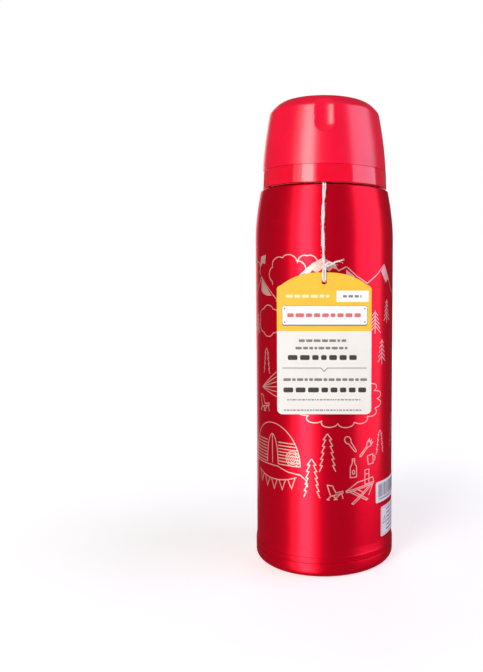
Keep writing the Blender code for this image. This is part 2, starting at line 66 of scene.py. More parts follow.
def reach(node):
    """(radius, lowest z, highest z) of a CAD node, in millimetres."""
    low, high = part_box(node)
    return round(high.x / MM, 2), round(low.z / MM, 2), round(high.z / MM, 2)


# Sizes that come from the frame.
BAND_R, SEAM_Z, NECK_TOP_Z = reach("outer_shell")
FOOT_R, FLOOR_Z, _ = reach("bottom_cap")
DISC_R, DISC_LOW_Z, DISC_HIGH_Z = reach("base_disc")
RIM_R, RIM_Z, SPIGOT_Z = reach("cup_rim")
COVER_R, COVER_Z, CUP_TOP_Z = reach("cup_cover")
FLASK_R, FLASK_Z, LIP_Z = reach("inner_flask")
LINER_FLANGE_R, LINER_Z, LINER_TOP_Z = reach("cup_liner")
GRIP_R, GRIP_Z, DECK_Z = reach("stopper_cap")
BUTTON_R, _, BUTTON_Z = reach("push_button")
TAG_HALF, TAG_LOW_Z, TAG_TOP_Z = reach("hang_tag")
TAG_FRONT_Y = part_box("hang_tag")[0].y / MM
TAG_BACK_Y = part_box("hang_tag")[1].y / MM

# The body's outline.
BODY_R = BAND_R - 0.6
BAND_TOP_Z = SEAM_Z + 3.8
BODY_LOW_Z = BAND_TOP_Z + 4.5
SHOULDER_Z = 207.0
SHOULDER_DROP = 3.3
SHOULDER_RISE = 29.0
LEDGE_Z = RIM_Z - 1.3
NECK_R = 33.75
LIP_R = NECK_R - 0.05
SHELL_WALL = 0.7

# The cup's outline.
CREASE_R = 35.1
CREASE_Z = 285.6
CROWN_R = 26.3
NOTCH_WIDTH = 11.6
NOTCH_DEPTH = 1.6
NOTCH_LOW_Z = 268.4
CUP_LEAD = 5.0

# The stopper, the string and the tag.
STOPPER_LEAD = 4.0
BUTTON_TOP_R = BUTTON_R - 1.4
STRAND_R = 0.3
STRANDS_Z = 234
KNOT_Z = 188.4
STRING_PIVOT = (0.0, -42.6, 236.6)
STRAND_PITCH = 30.0
HOLE_Z = 179.4
HOLE_R = 1.5


def shoulder_radius(z):
    """The body's radius at height z."""
    rise = np.clip((np.asarray(z, float) - SHOULDER_Z) / SHOULDER_RISE, 0, None)
    return BODY_R - SHOULDER_DROP * rise**1.75


def cup_radius(z):
    """The radius of the cup's side at height z."""
    rise = np.clip((np.asarray(z, float) - COVER_Z) / (CREASE_Z - COVER_Z), 0, None)
    return COVER_R - (COVER_R - CREASE_R) * rise**1.54


def crown_height(r):
    """The height of the cup's crown at radius r."""
    out = np.clip((np.asarray(r, float) - CROWN_R) / (CREASE_R - CROWN_R), 0, None)
    return CUP_TOP_Z - (CUP_TOP_Z - CREASE_Z) * out**1.8


# ---- mesh helpers


def spaced(start, end, step):
    """Values from start to end, about step apart, both ends included."""
    count = max(2, int(ceil(abs(end - start) / step)) + 1)
    return np.linspace(start, end, count)


def upright(r, low, high, step):
    """Points of a straight wall in an (r, z) outline."""
    return [(r, z) for z in spaced(low, high, step)]


def rounded(corners, closed=True):
    """An outline through corners (a, b), or (a, b, radius) for a round one."""
    points = []
    count = len(corners)
    for i, corner in enumerate(corners):
        here = Vector(corner[:2])
        radius = corner[2] if len(corner) > 2 else 0
        if not radius or (not closed and i in (0, count - 1)):
            points.append(tuple(here))
            continue
        before = Vector(corners[i - 1][:2]) - here
        after = Vector(corners[(i + 1) % count][:2]) - here
        half = before.angle(after) / 2
        back = min(radius / tan(half), 0.49 * before.length, 0.49 * after.length)
        before.normalize()
        after.normalize()
        centre = here + (before + after).normalized() * back / cos(half)
        first = here + before * back - centre
        last = here + after * back - centre
        for k in range(FILLET_STEPS + 1):
            spoke = first.slerp(last, k / FILLET_STEPS).normalized()
            points.append(tuple(centre + spoke * first.length))
    return points


def baked(bm, name):
    """A new mesh from a finished bmesh."""
    mesh = bpy.data.meshes.new(name)
    bm.to_mesh(mesh)
    bm.free()
    return mesh


def finish_mesh(name, mesh, material):
    """Makes a smooth-shaded object with crisp edges from a mesh."""
    bm = bmesh.new()
    bm.from_mesh(mesh)
    bmesh.ops.remove_doubles(bm, verts=bm.verts, dist=1e-7)
    bmesh.ops.recalc_face_normals(bm, faces=bm.faces)
    bm.to_mesh(mesh)
    bm.free()
    mesh.polygons.foreach_set("use_smooth", [True] * len(mesh.polygons))
    mesh.set_sharp_from_angle(angle=SHARP_ANGLE)
    obj = bpy.data.objects.new(name, mesh)
    bpy.context.scene.collection.objects.link(obj)
    obj.data.materials.append(material)
    return obj


def grid_mesh(name, points, wrap_rows, wrap_columns):
    """A mesh from points (rows, columns, 3) in millimetres."""
    rows, columns = points.shape[:2]
    i = np.arange(rows if wrap_rows else rows - 1)
    j = np.arange(columns if wrap_columns else columns - 1)
    i, j = np.meshgrid(i, j, indexing="ij")
    i2, j2 = (i + 1) % rows, (j + 1) % columns
    corners = [i * columns + j, i2 * columns + j, i2 * columns + j2, i * columns + j2]
    faces = np.stack(corners, -1).reshape(-1, 4)
    mesh = bpy.data.meshes.new(name)
    mesh.from_pydata((points.reshape(-1, 3) * MM).tolist(), [], faces.tolist())
    return mesh


def lathe(name, outline, material, angles=None, shift=None, closed=True):
    """Turns an (r, z) outline about the axis; shift(angle, r, z) moves r and z."""
    if angles is None:
        angles = np.arange(FINE) / FINE * TAU
    outline = np.array(outline, float)
    angle, r = np.meshgrid(angles, outline[:, 0], indexing="ij")
    z = np.broadcast_to(outline[:, 1], r.shape)
    if shift:
        r, z = shift(angle, r, z)
    points = np.stack([r * np.sin(angle), -r * np.cos(angle), z], -1)
    return finish_mesh(name, grid_mesh(name, points, True, closed), material)


def sweep_points(path, radius, sides):
    """Rings of points round a path in millimetres."""
    path = np.array(path, float)
    tangent = np.gradient(path, axis=0)
    tangent /= np.linalg.norm(tangent, axis=1)[:, None]
    normal = np.cross(tangent[0], (1.0, 0.3, 0.2))
    rings = []
    spokes = np.arange(sides) / sides * TAU
    for point, along in zip(path, tangent):
        normal = normal - along * normal.dot(along)
        normal /= np.linalg.norm(normal)
        side = np.cross(along, normal)
        ring = np.outer(np.cos(spokes), normal) + np.outer(np.sin(spokes), side)
        rings.append(point + ring * radius)
    return np.array(rings)


def joined(name, meshes, material):
    """One object from several meshes."""
    bm = bmesh.new()
    for mesh in meshes:
        bm.from_mesh(mesh)
        bpy.data.meshes.remove(mesh)
    return finish_mesh(name, baked(bm, name), material)


def capped_tube(path, radius, sides):
    """A closed tube mesh along a path."""
    mesh = grid_mesh("tube", sweep_points(path, radius, sides), False, True)
    bm = bmesh.new()
    bm.from_mesh(mesh)
    bmesh.ops.holes_fill(bm, edges=[e for e in bm.edges if e.is_boundary], sides=0)
    bm.to_mesh(mesh)
    bm.free()
    return mesh


def cut(obj, *tools):
    """Cuts tools out of obj and removes them."""
    for tool in tools:
        modifier = obj.modifiers.new("cut", "BOOLEAN")
        modifier.operation = "DIFFERENCE"
        modifier.solver = "EXACT"
        modifier.object = tool
    bpy.context.view_layer.update()
    evaluated = obj.evaluated_get(bpy.context.evaluated_depsgraph_get())
    result = bpy.data.meshes.new_from_object(evaluated)
    obj.modifiers.clear()
    obj.data = result
    obj.data.set_sharp_from_angle(angle=SHARP_ANGLE)
    for tool in tools:
        bpy.data.objects.remove(tool)
    return obj


def block(name, size, centre, material, soften):
    """A box with softened edges."""
    bm = bmesh.new()
    spot = Matrix.Translation(Vector(centre) * MM)
    bmesh.ops.create_cube(bm, size=1.0, matrix=spot @ Matrix.Diagonal((*Vector(size) * MM, 1)))
    bmesh.ops.bevel(bm, geom=bm.edges, offset=soften * MM, segments=3, affect="EDGES")
    return finish_mesh(name, baked(bm, name), material)


# ---- materials


def add(tree, kind, inputs=None, **settings):
    """Adds a shader node; inputs maps socket names to values or sockets."""
    made = tree.nodes.new("ShaderNode" + kind)
    for key, value in settings.items():
        setattr(made, key, value)
    for key, value in (inputs or {}).items():
        plug(tree, made.inputs[key], value)
    return made


def plug(tree, socket, value):
    """Gives a socket a value or a link."""
    if isinstance(value, bpy.types.NodeSocket):
        tree.links.new(value, socket)
    else:
        socket.default_value = value


def start_material(name):
    """A new material and its node tree."""
    material = bpy.data.materials.new(name)
    material.use_nodes = True
    return material, material.node_tree


def link(tree, **sockets):
    """Fills the surface shader's inputs; underscores stand for spaces."""
    shader = tree.nodes["Principled BSDF"]
    for key, value in sockets.items():
        plug(tree, shader.inputs[key.replace("_", " ")], value)


def place(tree, stretch=(1.0, 1.0, 1.0)):
    """Frame coordinates in millimetres, stretched per axis."""
    coords = add(tree, "TexCoord").outputs["Object"]
    scale = [1 / MM * s for s in stretch]
    return add(tree, "Mapping", {"Vector": coords, "Scale": scale}).outputs["Vector"]


def grain(tree, scale, stretch=(1.0, 1.0, 1.0), detail=3.0):
    """Noise with about scale grains a millimetre."""
    inputs = {"Vector": place(tree, stretch), "Scale": scale, "Detail": detail}
    return add(tree, "TexNoise", inputs).outputs["Fac"]


def between(tree, factor, low, high):
    """Maps a 0 to 1 factor to a range of numbers."""
    inputs = {"Value": factor, "To Min": low, "To Max": high}
    return add(tree, "MapRange", inputs).outputs["Result"]


def scaled(color, factor):
    return tuple(min(1.0, c * factor) for c in color)


def two_tone(tree, factor, dark, light, low=0.35, high=0.65):
    """A colour that follows a factor; dark is a colour or a share of light."""
    if isinstance(dark, float):
        dark = scaled(light, dark)
    ramp = add(tree, "ValToRGB", {"Fac": factor})
    first, last = ramp.color_ramp.elements
    first.position, last.position = low, high
    first.color, last.color = (*dark, 1), (*light, 1)
    return ramp.outputs["Color"]


def bumps(tree, height, depth, normal=None):
    """Surface relief, depth millimetres deep."""
    inputs = {"Height": height, "Distance": depth * MM, "Strength": 1.0}
    if normal is not None:
        inputs["Normal"] = normal
    return add(tree, "Bump", inputs).outputs["Normal"]


def lacquer(name, color, roughness, streak):
    """Metallic lacquer with fine flakes over steel brushed round the body."""
    material, tree = start_material(name)
    streaks = grain(tree, 1.0, (0.02, 0.02, streak), 5)
    inputs = {"Factor": 0.35, "A": streaks, "B": grain(tree, 0.05)}
    tone = add(tree, "Mix", inputs, data_type="FLOAT").outputs[0]
    relief = bumps(tree, streaks, 0.009)
    link(
        tree,
        Base_Color=two_tone(tree, tone, 0.9, color),
        Metallic=0.7,
        Specular_IOR_Level=0.15,
        Specular_Tint=(1.0, 0.25, 0.4, 1.0),
        Roughness=between(tree, streaks, roughness - 0.04, roughness + 0.05),
        Anisotropic=0.5,
        Anisotropic_Rotation=0.25,
        Tangent=add(tree, "Tangent", direction_type="RADIAL", axis="Z").outputs[0],
        Normal=bumps(tree, grain(tree, 9.0, detail=1), 0.0012, relief),
        Coat_Weight=0.2,
        Coat_Roughness=0.2,
    )
    return material


def moulded(name, color, roughness, texture=0.004, wear=0.05, coat=0.0, specular=0.5):
    """Moulded plastic: fine grain, slow changes of tone, handling marks."""
    material, tree = start_material(name)
    scuffs = grain(tree, 0.8, (1, 1, 0.15), 6)
    link(
        tree,
        Base_Color=two_tone(tree, grain(tree, 0.06), scaled(color, 0.94), scaled(color, 1.03)),
        Roughness=between(tree, scuffs, roughness - wear, roughness + wear),
        Specular_IOR_Level=specular,
        Normal=bumps(tree, grain(tree, 5.0), texture),
        Coat_Weight=coat,
        Coat_Roughness=0.05,
    )
    return material


def textured(name, color, share, slow, fine, low, high, depth, metallic=0.0):
    """A surface whose tone drifts slowly and whose gloss and relief follow finer marks.

    share darkens the darker tone, slow and fine describe the two noises, low and high bound
    the roughness, and the marks are depth millimetres deep.
    """
    material, tree = start_material(name)
    marks = grain(tree, *fine)
    link(
        tree,
        Base_Color=two_tone(tree, grain(tree, *slow), share, color),
        Metallic=metallic,
        Roughness=between(tree, marks, low, high),
        Normal=bumps(tree, marks, depth),
    )
    return material


def steel(name, color, rough, stretch, depth=0.004):
    """Brushed or turned steel; stretch sets which way the brush marks run."""
    fine = (1.0, stretch, 6)
    return textured(name, color, 0.85, (0.12,), fine, rough - 0.07, rough + 0.1, depth, 1.0)


def turned_steel(name, color, roughness):
    """Steel with concentric turning marks about the bottle's axis."""
    material, tree = start_material(name)
    inputs = {"Vector": place(tree), "Scale": 2.2, "Distortion": 0.3, "Detail": 2.0}
    rings = add(tree, "TexWave", inputs, wave_type="RINGS", rings_direction="Z").outputs["Fac"]
    link(
        tree,
        Base_Color=two_tone(tree, grain(tree, 0.15), 0.8, color),
        Metallic=1.0,
        Roughness=between(tree, rings, roughness - 0.06, roughness + 0.08),
        Normal=bumps(tree, rings, 0.01),
    )
    return material


def soft_foam(name, color):
    """Closed-cell foam: small cells with rounded walls, and painted shade in the hollows of the cells."""
    material, tree = start_material(name)
    inputs = {"Vector": place(tree), "Scale": 1.6}
    cells = add(tree, "TexVoronoi", inputs).outputs["Distance"]
    # The colour darkens towards each cell's middle, where the relief is lowest: painted shade in the cell
    # hollows.
    tone = two_tone(tree, cells, 0.82, color, 0.1, 0.6)
    link(tree, Base_Color=tone, Roughness=0.9, Normal=bumps(tree, cells, 0.12))
    return material


def rubber(name, color):
    """Milky silicone with a waxy surface."""
    material, tree = start_material(name)
    link(
        tree,
        Base_Color=two_tone(tree, grain(tree, 0.2), 0.93, color),
        Roughness=between(tree, grain(tree, 2.0), 0.36, 0.5),
        Normal=bumps(tree, grain(tree, 3.0), 0.01),
        Subsurface_Weight=0.35,
        Subsurface_Radius=(0.002, 0.002, 0.0018),
    )
    return material


def cord(name, color):
    """Cotton yarn: fine fibres along the strands and a soft sheen."""
    material, tree = start_material(name)
    fibres = grain(tree, 3.5, (1, 1, 0.5), 6)
    link(
        tree,
        Base_Color=two_tone(tree, fibres, 0.78, color, 0.25, 0.6),
        Roughness=0.95,
        Normal=bumps(tree, fibres, 0.12),
        Sheen_Weight=0.5,
        Sheen_Roughness=0.5,
        Subsurface_Weight=0.15,
        Subsurface_Radius=(0.0008, 0.0007, 0.0006),
    )
    return material


def ink(name, color, metallic=0.0, rough=0.5, fade=0.86):
    """Screen-printed ink: uneven cover and a faint dot grain."""
    cover = (1.4, (1, 1, 1), 5)
    return textured(name, color, fade, cover, cover, rough - 0.08, rough + 0.1, 0.003, metallic)


def label_film(name, color):
    """Coated label film: faint fibres and a soft gloss."""
    return textured(name, color, 0.96, (0.07,), (2.2, (1, 1, 0.6), 6), 0.29, 0.41, 0.004)


def mixed(tree, factor, a, b):
    """A colour that goes from a to b with factor."""
    mix = add(tree, "Mix", {"Factor": factor, "A": a, "B": b}, data_type="RGBA")
    return next(s for s in mix.outputs if s.type == "RGBA")


def two_zone_card(name, upper, lower, edge_z):
    """Tag card with two printed colours that meet at edge_z and a plain back."""
    material, tree = start_material(name)
    spot = add(tree, "SeparateXYZ", {"Vector": place(tree)}).outputs
    above = add(tree, "Math", {0: spot["Z"], 1: edge_z}, operation="GREATER_THAN")
    front = add(tree, "Math", {0: spot["Y"], 1: TAG_BACK_Y - 0.05}, operation="LESS_THAN")
    fibres = grain(tree, 2.2, (1, 1, 0.6), 6)
    sun = two_tone(tree, grain(tree, 0.1), 0.95, upper)
    pale = two_tone(tree, grain(tree, 0.1), 0.97, lower)
    printed = mixed(tree, above.outputs[0], pale, sun)
    link(
        tree,
        Base_Color=mixed(tree, front.outputs[0], (*lower, 1), printed),
        Roughness=between(tree, fibres, 0.36, 0.5),
        Normal=bumps(tree, fibres, 0.012),
        Coat_Weight=0.15,
        Coat_Roughness=0.3,
    )
    return material


# ---- printed shapes

LINE = 0.58
PATCH_STEP = 1.5
ART_LIFT = 0.035
LABEL_LIFT = 0.19


def on_body(lift):
    """Lays print on the body, by distance round it and height."""

    def lay(across, up):
        r, angle = BODY_R + lift, across / BODY_R
        return r * sin(angle), -r * cos(angle), up

    return lay


def on_tag(lift):
    """Lays print on the tag's front."""
    return lambda across, up: (across, TAG_FRONT_Y - lift, up)


class Print:
    """Printed shapes, gathered flat in millimetres and laid on a surface."""

    def __init__(self):
        self.points = []
        self.faces = []

    def add(self, points, faces):
        first = len(self.points)
        self.points += [tuple(p) for p in points]
        self.faces += [tuple(first + k for k in face) for face in faces]

    def line(self, corners, width=LINE, closed=False):
        """A printed line of even width through the corners."""
        corners = [np.array(c, float) for c in corners]
        if closed:
            corners.append(corners[0])
        path = [corners[0]]
        for a, b in zip(corners, corners[1:]):
            steps = max(1, int(ceil(np.linalg.norm(b - a) / PATCH_STEP)))
            path += [a + (b - a) * k / steps for k in range(1, steps + 1)]
        step = np.diff(path, axis=0)
        if closed:
            path.pop()
            ahead, behind = step, np.roll(step, 1, 0)
        else:
            ahead, behind = np.vstack([step, step[-1:]]), np.vstack([step[:1], step])
        along = unit_rows(ahead) + unit_rows(behind)
        size = np.maximum(np.linalg.norm(along, axis=1), 0.7)
        along /= size[:, None]
        across = np.stack([-along[:, 1], along[:, 0]], 1) * (width / size)[:, None]
        path = np.array(path)
        both = np.stack([path + across, path - across], 1).reshape(-1, 2)
        count = len(path)
        links = [(k, (k + 1) % count) for k in range(len(step))]
        self.add(both, [(2 * k, 2 * k + 1, 2 * n + 1, 2 * n) for k, n in links])

    def patch(self, corners):
        """A filled shape, cut small enough to follow the surface."""
        bm = bmesh.new()
        bm.faces.new([bm.verts.new((a, b, 0)) for a, b in corners])
        bmesh.ops.triangulate(bm, faces=bm.faces)
        for _ in range(6):
            long_edges = [e for e in bm.edges if e.calc_length() > PATCH_STEP]
            if not long_edges:
                break
            bmesh.ops.subdivide_edges(bm, edges=long_edges, cuts=1)
            bmesh.ops.triangulate(bm, faces=bm.faces)
        bm.verts.index_update()
        self.add([v.co[:2] for v in bm.verts], [[v.index for v in f.verts] for f in bm.faces])
        bm.free()

    def dash(self, left, right, low, high, soften=True):
        """A filled bar, with soft corners where it is thick enough."""
        soft = 0.3 * min(high - low, right - left) if soften else 0
        if soft < 0.2:
            soft = 0
        self.patch(rounded(rectangle(left, right, low, high, soft)))

    def laid(self, name, material, lay):
        """The finished print as an object."""
        points = [[c * MM for c in lay(a, b)] for a, b in self.points]
        mesh = bpy.data.meshes.new(name)
        mesh.from_pydata(points, [], self.faces)
        return finish_mesh(name, mesh, material)


def unit_rows(rows):
    return rows / np.linalg.norm(rows, axis=1)[:, None]


def rectangle(left, right, low, high, corner=0):
    """Corners of an upright rectangle, each with its radius."""
    return [(a, b, corner) for a, b in ((left, low), (right, low), (right, high), (left, high))]


def ellipse(centre, half_width, half_height, start=0, end=360, count=20):
    """Points on an ellipse, between angles in degrees."""
    angles = np.radians(np.linspace(start, end, count))
    return [(centre[0] + half_width * cos(a), centre[1] + half_height * sin(a)) for a in angles]


def around(degrees):
    """Distance round the body for an angle from the front."""
    return radians(degrees) * BODY_R


def wrapped(corners):
    """(degrees, height) corners as (across, up) ones."""
    return [(around(d), z) for d, z in corners]


def cloud(half_width, half_height, lobes, start, end):
    """A scalloped outline."""
    points = []
    for a in np.linspace(radians(start), radians(end), lobes * 8):
        swell = 0.83 + 0.2 * sqrt(abs(sin(lobes * a / 2)))
        points.append((half_width * swell * cos(a), half_height * swell * sin(a)))
    return points


def zigzag_pine(height, width, teeth):
    """The two jagged sides of a pine, drawn from its tip."""
    sides = []
    for sign in (-1, 1):
        points = [(0, height)]
        for k in range(teeth):
            out = width / 2 * (0.4 + 0.6 * (k + 1) / teeth)
            top = height * (1 - (k + 0.9) / teeth)
            points.append((sign * out, top))
            if k < teeth - 1:
                points.append((sign * (out - width * 0.13), top - height * 0.012))
        sides.append(points)
    return sides


def branch_pine(height, width, pairs=5):
    """A trunk with drooping branches."""
    strokes = [[(0, 0), (0, height)]]
    for k in range(pairs):
        top = height * (0.93 - 0.75 * k / pairs)
        out = width / 2 * (0.35 + 0.65 * (k + 1) / pairs)
        strokes += [[(0, top), (sign * out, top - out * 0.8)] for sign in (-1, 1)]
    return strokes


def glass_bottle():
    side = [(2.1, 0), (2.1, 6.4), (0.8, 8.6), (0.8, 11.4)]
    outline = side + [(-x, z) for x, z in reversed(side)]
    return [outline + [outline[0]], ellipse((0, 3.2), 0.8, 1.2), [(-0.8, 10.2), (0.8, 10.2)]]


def round_tent(half_width, height, stripes):
    """A dome tent with a door and level stripes."""
    door = half_width * 0.24
    strokes = [ellipse((0, 0), half_width, height, 0, 180, 26)]
    for k in range(stripes):
        level = height * 0.62 * k / stripes
        edge = half_width * sqrt(1 - (level / height) ** 2)
        strokes += [[(-edge, level), (-door, level)], [(door, level), (edge, level)]]
    strokes.append(ellipse((0, 0), door, height * 0.72, 0, 180, 14))
    return strokes + [[(0, 0), (0, height * 0.72)]]


def log_round(radius):
    """The end of a log with its growth rings."""
    return [ellipse((0, 0), radius * s, radius * s, count=22) for s in (1, 0.72, 0.42, 0.16)]


def bunting(half_width, sag, flags):
    """A cord with small triangular flags."""
    spots = np.linspace(-1, 1, flags * 2 + 1)
    strokes = [[(half_width * t, sag * t * t) for t in spots]]
    for a, b in zip(strokes[0][:-1:2], strokes[0][2::2]):
        lean = 0.12 * (b[0] - a[0])
        tip = ((a[0] + b[0]) / 2, (a[1] + b[1]) / 2 - 6.2)
        strokes.append([(a[0] + lean, a[1]), tip, (b[0] - lean, b[1])])
    return strokes


def fan_tent(width, height, folds):
    """Guy lines that spread from one peg."""
    return [[(0, 0), (width, height * (1 - 1.4 * k / folds))] for k in range(folds + 1)]


BOWL = ellipse((0, 0), 1.9, 2.4, -60, 240, 18)
SPOON = [BOWL + [(-0.6, -8.5), (0, -9.2), (0.6, -8.5), BOWL[0]]]
PRONGS = [(-0.6, -9), (-0.5, -2), (-1.9, 0), (-1.9, 3), (-0.9, 0.9), (0, 3.2), (0.9, 0.9)]
FORK = [PRONGS + [(1.9, 3), (1.9, 0), (0.5, -2), (0.6, -9), (0, -9.6), (-0.6, -9)]]
MUG = [
    [(-2.6, 5.6), (-2.4, 0), (1.8, 0), (2.0, 5.6), (-2.6, 5.6)],
    ellipse((2.1, 2.9), 1.7, 1.7, -80, 80, 10),
]
JUG = [[(-1.6, 0), (-1.6, 8.8), (1.6, 8.8), (1.6, 0), (-1.6, 0)], [(-1.6, 6.2), (1.6, 6.2)]]
CHAIR = [
    [(-5.2, 10.2), (-1.6, 9.6), (0.6, 4.8), (5.4, 5.6), (5.6, 4.4), (-2.8, 2.6), (-5.2, 10.2)],
    [(-2.4, 2.8), (-5.2, 0.4), (-3.6, 0)],
    [(-1.2, 2.8), (1.8, 0)],
    [(4.6, 4.4), (5.6, 0.4)],
    [(4.0, 4.0), (-0.4, 0.2), (1.0, 0.2)],
    [(-4.2, 6.8), (-3.0, 3.2)],
]
TABLE = [
    [(-11.5, 7.6), (-3.5, 12.6), (8.5, 14.2), (9.4, 11.2), (-11.5, 7.6)],
    [(-11.5, 7.6), (-10.6, 6.8), (9.4, 10.2), (9.4, 11.2)],
    [(-8.8, 7.0), (3.4, 0.2), (4.4, 0.8), (-6.6, 7.3)],
    [(7.8, 9.6), (-6.4, -1.0), (-7.4, -0.4), (6.0, 9.6)],
    [(8.6, 9.8), (5.0, 3.2)],
    [(-3.2, 7.9), (1.0, 5.4)],
]
FLAME = [(-2.6, 1.6), (-3.4, 4.6), (-1.6, 6.2), (-0.6, 9.4)]
FLAME += [(1.2, 6.6), (2.0, 7.4), (3.2, 4.4), (2.4, 1.6)]
LOGS = [[(-5, 1.2), (5, -0.8)], [(-5, -0.8), (5, 1.2)]]
CAMPFIRE = [FLAME, *LOGS, [(-1, 1.8), (0, 4.6), (1.1, 1.8)]]
STAR = [[(0, -1.5), (0, 1.5)], [(-1.5, 0), (1.5, 0)]]


def draw(sheet, strokes, degrees, up, turn=0.0, size=1.0, width=LINE):
    """Prints a motif at an angle from the front and a height."""
    c, s = cos(radians(turn)), sin(radians(turn))
    for stroke in strokes:
        moved = [(size * (a * c - b * s), size * (a * s + b * c)) for a, b in stroke]
        sheet.line([(around(degrees) + a, up + b) for a, b in moved], width)


def art(motifs):
    """A print of (strokes, degrees, up, turn, size, width) motifs."""
    sheet = Print()
    for strokes, *spot in motifs:
        draw(sheet, strokes, *spot)
    return sheet


# Each cloud: degrees, height, then its shape.
CLOUDS = (
    (-31, 184, 13.5, 11.5, 7, 8, 215),
    (-13, 189.5, 6.5, 6, 4, 20, 170),
    (-50.5, 155.6, 11, 9.4, 6, 0, 360),
    (14, 107.5, 29, 15, 15, -185, 50),
    (96, 181, 12, 8, 6, -15, 205),
    (140, 150, 15, 9, 7, -15, 205),
    (188, 186, 13, 8, 6, -15, 205),
    (238, 158, 14, 9, 7, -15, 205),
    (284, 186, 10, 8, 6, -15, 205),
)
STARS = ((112, 196), (163, 174), (214, 196), (262, 183), (128, 169), (226, 174))

# Each tree: degrees, height of its foot, its own height and width, and its teeth.
BRANCH_PINES = (
    ((44.2, 148, 14, 11), (61.0, 153.8, 15, 8), (53.2, 128.4, 16, 8.5), (88, 148, 15, 9))
    + ((99, 140, 13, 8), (168, 150, 16, 10), (179, 143, 13, 8), (255, 140, 15, 9))
    + ((266, 149, 14, 9), (290, 146, 14, 8))
)
JAGGED_PINES = (
    ((-53.2, 122.6, 16, 7, 5), (2.5, 65.3, 23.5, 10, 6), (-9.8, 49.4, 24, 10, 6))
    + ((51.0, 72.6, 15, 8, 5), (76, 74, 22, 10, 6), (118, 72, 24, 10, 6), (128, 60, 22, 10, 6))
    + ((176, 66, 25, 11, 6), (214, 72, 22, 10, 6), (270, 62, 24, 10, 6))
)


def sky_art():
    clouds = [([cloud(*shape)], degrees, up) for degrees, up, *shape in CLOUDS]
    return art(clouds + [(STAR, *spot) for spot in STARS])


def tree_art():
    branched = [(branch_pine(h, w), degrees, up, 0, 1, 0.62) for degrees, up, h, w in BRANCH_PINES]
    jagged = [(zigzag_pine(*shape), degrees, up) for degrees, up, *shape in JAGGED_PINES]
    return art(branched + jagged)


# Skylines and snow fields as (degrees, height) corners.
RIDGES = (
    ((-41, 167.5), (-29, 176), (-18, 184), (-9, 190), (-1, 193.4), (6, 190.5), (11, 186), (17, 188.3)),
    ((17.5, 188.3), (26.5, 182.5), (35.5, 178.6), (46.5, 184), (56, 190.2), (61, 185), (69, 176), (80, 170)),
    ((-39, 168), (-51, 176), (-61, 182.6), (-68, 176), (-77, 167)),
)
SNOW = (
    (
        ((-1, 193.4), (-10, 189.3), (-19, 183.4), (-15, 184.4))
        + ((-11.5, 184), (-9, 186.4), (-5.5, 184.6), (-1, 187.5))
    ),
    ((0, 193.2), (6, 190.4), (10, 186.8), (6.5, 187.6), (3.5, 185.4), (0, 187.5)),
    ((17, 186.6), (24.5, 182.4), (21, 182.2), (17, 183.6)),
    ((56, 189.8), (61, 185), (65.5, 180), (62.5, 181), (59, 179), (55.5, 181.8), (51.5, 186)),
    ((-60.5, 181.6), (-52.5, 176), (-46, 171), (-52.5, 171), (-58.5, 172.4), (-61.4, 174)),
    ((-64, 188), (-62, 195), (-53.5, 196), (-55, 190.5), (-59, 191)),
)
BACK_RIDGE = ((-26, -20), (-9, -7), (0, 0), (8, -6), (22, -18))
BACK_SNOW = ((-9, -7), (-5, -6), (-2, -9), (2, -6), (5, -8), (8, -6), (0, 0))


def mountain_art():
    sheet = Print()
    for corners in RIDGES:
        sheet.line(wrapped(corners))
    for corners in SNOW:
        sheet.patch(wrapped(corners))
    for peak, top in ((104, 186), (152, 192), (199, 184), (248, 190)):
        sheet.line(wrapped([(peak + a, top + b) for a, b in BACK_RIDGE]))
        sheet.patch(wrapped([(peak + a, top + b) for a, b in BACK_SNOW]))
    return sheet


GROUND = ((-73, 66.5), (-40, 66.5), (-30, 64), (-19, 63), (-14, 60), (-13, 56))
CAMP = (
    (fan_tent(15, 11, 5), -60, 113.8, 0, 1, 0.5),
    (CHAIR, -57, 99),
    (round_tent(21, 25, 8), -46, 68),
    (log_round(4.6), -25.5, 72.4),
    ([wrapped(GROUND)], 0, 0),
    (bunting(17, 3.2, 5), -44, 58),
    (CHAIR, 8.3, 48.4, 0, 0.9),
    (TABLE, 31.5, 45.6, 0, 0.98),
    (SPOON, 18.6, 84.4, 36),
    (FORK, 37.8, 80.4, -44),
    (glass_bottle(), 23.4, 61.3),
    (MUG, 40.4, 68.0, 6),
    (JUG, 36.0, 56.0),
    (round_tent(17, 20, 6), 150, 66),
    (CAMPFIRE, 196, 66),
    (log_round(4.0), 133, 110),
    (fan_tent(14, 12, 6), 226, 112),
    (round_tent(16, 18, 6), 242, 72),
    (CHAIR, 160, 108),
    (MUG, 205, 108),
    (bunting(18, 3.2, 6), 186, 128),
    (CAMPFIRE, 100, 104),
)


# ---- the bottle


def thread(wall_r, out, start_z, lead, turns, crest, width):
    """A shift that rolls a thread into the wall at wall_r, outwards (1) or inwards (-1)."""

    def shift(angle, r, z):
        ridge = np.zeros(r.shape)
        for lap in range(int(ceil(turns)) + 1):
            travelled = (angle % TAU) / TAU + lap
            offset = (z - start_z - lead * travelled) / width
            ease = np.clip(np.minimum(travelled, turns - travelled) / 0.08, 0, 1)
            bump = np.where(np.abs(offset) < 0.5, np.cos(pi * offset) ** 2, 0)
            ridge = np.maximum(ridge, bump * ease * crest)
        return np.where(np.abs(r - wall_r) < 0.01, r + out * ridge, r), z

    return shift


def ripples(x, crests, width):
    """The sum of soft ridges of unit height at the given crests."""
    return sum(np.exp(-(((x - crest) / width) ** 2)) for crest in crests)


